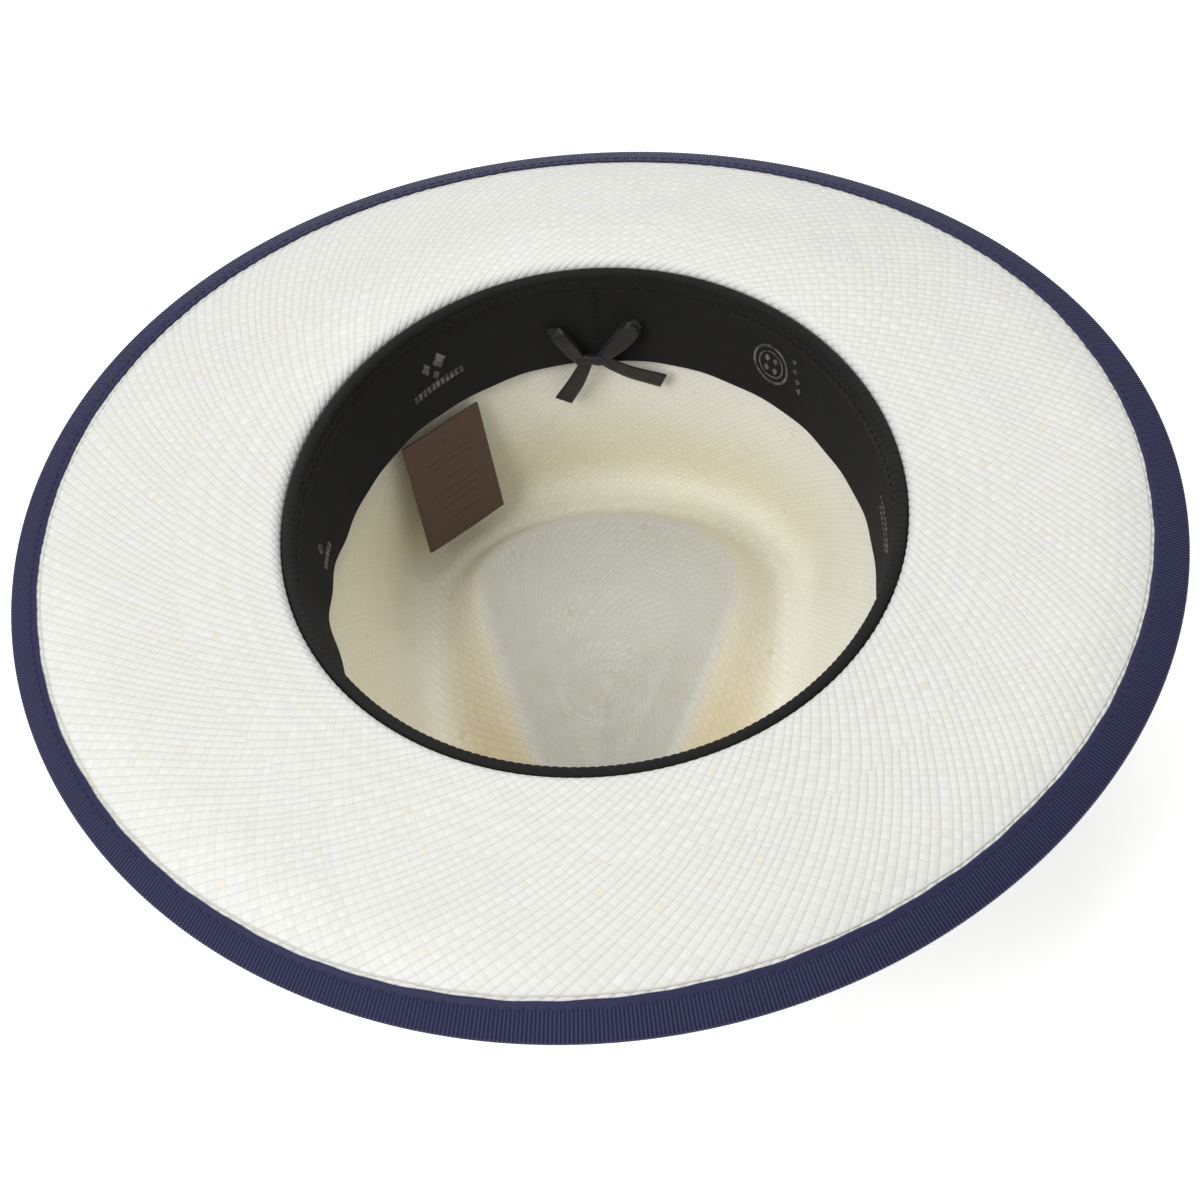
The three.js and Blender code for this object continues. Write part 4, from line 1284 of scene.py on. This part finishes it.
def make_hatband():
    top, bottom, thick = HATBAND["top"], HATBAND["bottom"], HATBAND["thick"] * 0.8
    selvage = np.array([0, 0.3, 1.0])  # the ribs end before the ribbon's edges
    ribs, per_rib, middle = 524, 4, 26.0
    a = angle_of(around(ribs * per_rib))
    length = ring_length(on_band(a, middle, 0.0))
    length = length * RIB * ribs / length[-1]
    rib = 0.12 * (ribbed(length[:-1]) - 0.5)
    body = np.concatenate([[top + 1.5], np.linspace(top + 3, bottom - 3, 7), [bottom - 1.5]])
    drops = np.concatenate([top + selvage, body, (bottom - selvage)[::-1]])
    plain = (drops < top + 1.3) | (drops > bottom - 1.3)
    outer = [on_band(a, d, thick * 0.8 + 0 * rib if p else thick + rib) for d, p in zip(drops, plain)]
    inner = [on_band(a, d, 0.02 + 0 * a) for d in (bottom, middle, top)]
    across = np.concatenate([drops - top, [0.5, 0.5, 0.5, 0.0]])
    piece = swept("hatband", np.stack(outer + inner, 1), MATERIALS["hatband"], "grosgrain", length, across)
    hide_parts("hatband")


BOW_LIFT = HATBAND["thick"] + 2 * GAP  # the side bow lies on the hatband
BOW_DROPS = np.linspace(HATBAND["top"] + SIDE_BOW["edge"], HATBAND["bottom"] - SIDE_BOW["edge"], 13)
ACROSS_BOTH = np.concatenate([BOW_DROPS, BOW_DROPS[::-1], BOW_DROPS[:1]]) - BOW_DROPS[0]


def side_piece(node, outer, inner, material, length, across, closed, flat, held, rests_on):
    """A ribbon of the side bow between two skins of points."""
    sections = np.concatenate([outer, inner[:, ::-1]], 1)
    piece = swept(node, sections, MATERIALS[material], "grosgrain", length, across, closed=closed, sharp=60)
    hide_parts(node)


def make_bow_tail():
    hidden, notch, per_rib = 4.0, 7.0, 4
    count = int((SIDE_BOW["tail"] + hidden) * per_rib / RIB)
    k = np.linspace(0, 1, count)[:, None]
    end = SIDE_BOW["tail"] - notch + notch * np.abs(np.linspace(-1, 1, len(BOW_DROPS)))[None, :]
    along = mix(-hidden, end, k)
    angle = side_angle(along)
    rib = 0.14 * (ribbed(along) - 0.5)
    outer = on_band(angle, BOW_DROPS[None, :], BOW_LIFT + 0.6 + 0.15 * np.sin(k * 5) + rib)
    inner = on_band(angle, BOW_DROPS[None, :], BOW_LIFT + 0.02 * k + 0 * rib)
    side_piece(
        "hatband_bow_tail", outer, inner, "hatband", along.mean(1), ACROSS_BOTH, False,
        (0.034, 0.054), "laid", "hatband",
    )


def leaf_height(u):
    """How far the bow's outer leaf stands off the hatband, u along from the keeper."""
    u = np.abs(u)
    return 2.4 + 1.3 * smooth((u - 8) / 12) * (1 - 0.25 * np.clip((u - 20) / 13, 0, 1))


def make_bow_loops():
    """One closed strip: near leaf, fold, far leaf, fold."""
    half, near_leaf, reach = SIDE_BOW["half"], SIDE_BOW["near_leaf"], SIDE_BOW["fold"]
    low = np.linspace(-half, half, int(2 * half * 4 / RIB))
    fold = np.linspace(-PI / 2, PI / 2, 9)[1:-1]
    middle, radius = (leaf_height(half) + near_leaf) / 2, (leaf_height(half) - near_leaf) / 2
    u = np.concatenate([low, half + reach * np.cos(fold), low[::-1], -half - reach * np.cos(fold)])
    far_leaf = leaf_height(low[::-1])
    height = np.concatenate([
        0 * low + near_leaf, middle + radius * np.sin(fold), far_leaf, middle - radius * np.sin(fold),
    ])
    ahead_u, ahead_h = np.gradient(u), np.gradient(height)
    size = np.hypot(ahead_u, ahead_h)
    normal_u, normal_h = ahead_h / size, -ahead_u / size
    length = np.concatenate([[0], np.cumsum(np.hypot(np.diff(u), np.diff(height)))])
    rib = 0.12 * (ribbed(length) - 0.5)
    skins = []
    for side in (SIDE_BOW["leaf"] + rib, -SIDE_BOW["leaf"] + 0 * rib):
        angle = side_angle(u + side * normal_u)[:, None]
        skins.append(on_band(angle, BOW_DROPS[None, :], (BOW_LIFT + height + side * normal_h)[:, None]))
    length = np.append(length, length[-1] + 0.3)
    side_piece(
        "hatband_bow_loops", *skins, "hatband", length, ACROSS_BOTH, True, (0.034, 0.136), "folded", "hatband"
    )


def make_bow_keeper():
    half, over = SIDE_BOW["keeper"], 1.4
    top, low = HATBAND["top"] - over, HATBAND["bottom"] + over
    rounded = np.array([0, 0.15, 0.6])
    drops = np.concatenate([top + rounded, np.linspace(top + 2, low - 2, 60), (low - rounded)[::-1]])
    from_end = np.minimum(drops - top, low - drops)
    lift = BOW_LIFT + 0.4 + 3.0 * smooth(np.clip(from_end / 1.6, 0, 1) ** 0.5)
    rib = 0.1 * (ribbed(drops) - 0.5) * (from_end > 1)
    tucked = drops + 0.5 * np.sign(26 - drops) * (from_end < 2)
    along = np.linspace(-half, half, 11)
    angle = side_angle(along)[:, None]
    outer = on_band(angle, drops[None, :], (lift + rib)[None, :])
    inner = on_band(angle, tucked[None, :], (lift - 0.55 * (from_end > 0.3))[None, :])
    across = np.concatenate([drops, drops[::-1], [0]])
    side_piece(
        "hatband_bow_keeper", outer, inner, "keeper", along + half, across, False, (0.013, 0.045), "folded",
        "hatband_bow_loops",
    )


# ---- floor, light and camera -----------------------------------------------------------------
def make_floor():
    mesh = bpy.data.meshes.new("floor")
    half = 4.0
    corners = [(half * x, half * y, 0) for x, y in ((-1, -1), (1, -1), (1, 1), (-1, 1))]
    mesh.from_pydata(corners, [], [(0, 1, 2, 3)])
    floor = bpy.data.objects.new("floor", mesh)
    bpy.context.scene.collection.objects.link(floor)
    mesh.materials.append(floor_material())


def softbox(name, place, size, power):
    light = bpy.data.lights.new(name, "AREA")
    light.shape = "RECTANGLE"
    light.size, light.size_y = size
    light.energy = power
    lamp = bpy.data.objects.new(name, light)
    bpy.context.scene.collection.objects.link(lamp)
    lamp.location = place
    aim = Vector((0, 0, 0.06)) - Vector(place)
    lamp.rotation_euler = aim.to_track_quat("-Z", "Y").to_euler()


def make_studio():
    world = bpy.data.worlds.new("studio")
    bpy.context.scene.world = world
    world.use_nodes = True
    world.node_tree.nodes["Background"].inputs[0].default_value = (1.0, 1.0, 1.0, 1)
    world.node_tree.nodes["Background"].inputs[1].default_value = 0.55
    softbox("top_softbox", (0.1, 0.8, 1.5), (1.2, 0.9), 9.0)
    softbox("front_left_softbox", (-0.85, -1.0, 1.2), (0.8, 0.8), 14.9)
    bpy.context.scene.view_settings.view_transform = "Standard"


CAMERA = dict(
    place=(45.937, -577.750, 673.324), lens=91.352, sensor=36.0,
    forward=(-0.05378501, 0.67806784, -0.73302877), up=(0.02691734, 0.73480909, 0.67773966),
)


def make_camera():
    data = bpy.data.cameras.new("camera")
    data.sensor_width = CAMERA["sensor"]
    data.lens = CAMERA["lens"]
    data.clip_start, data.clip_end = 0.01, 20.0
    camera = bpy.data.objects.new("camera", data)
    bpy.context.scene.collection.objects.link(camera)
    forward = Vector(CAMERA["forward"]).normalized()
    right = forward.cross(Vector(CAMERA["up"])).normalized()
    up = right.cross(forward)
    place = (np.array(CAMERA["place"]) + ORIGIN) * MM
    columns = Matrix((right, up, -forward)).transposed().to_4x4()
    camera.matrix_world = Matrix.Translation(Vector(place)) @ columns
    bpy.context.scene.camera = camera


make_camera()
make_studio()
make_floor()
make_straw()
make_binding()
make_binding_stitching()
make_hem_cord()
make_sweatband()
make_reed()
make_band_stitching()
make_marks()
make_bow()
make_label_flap()
make_label_tab()
make_hatband()
make_bow_tail()
make_bow_loops()
make_bow_keeper()
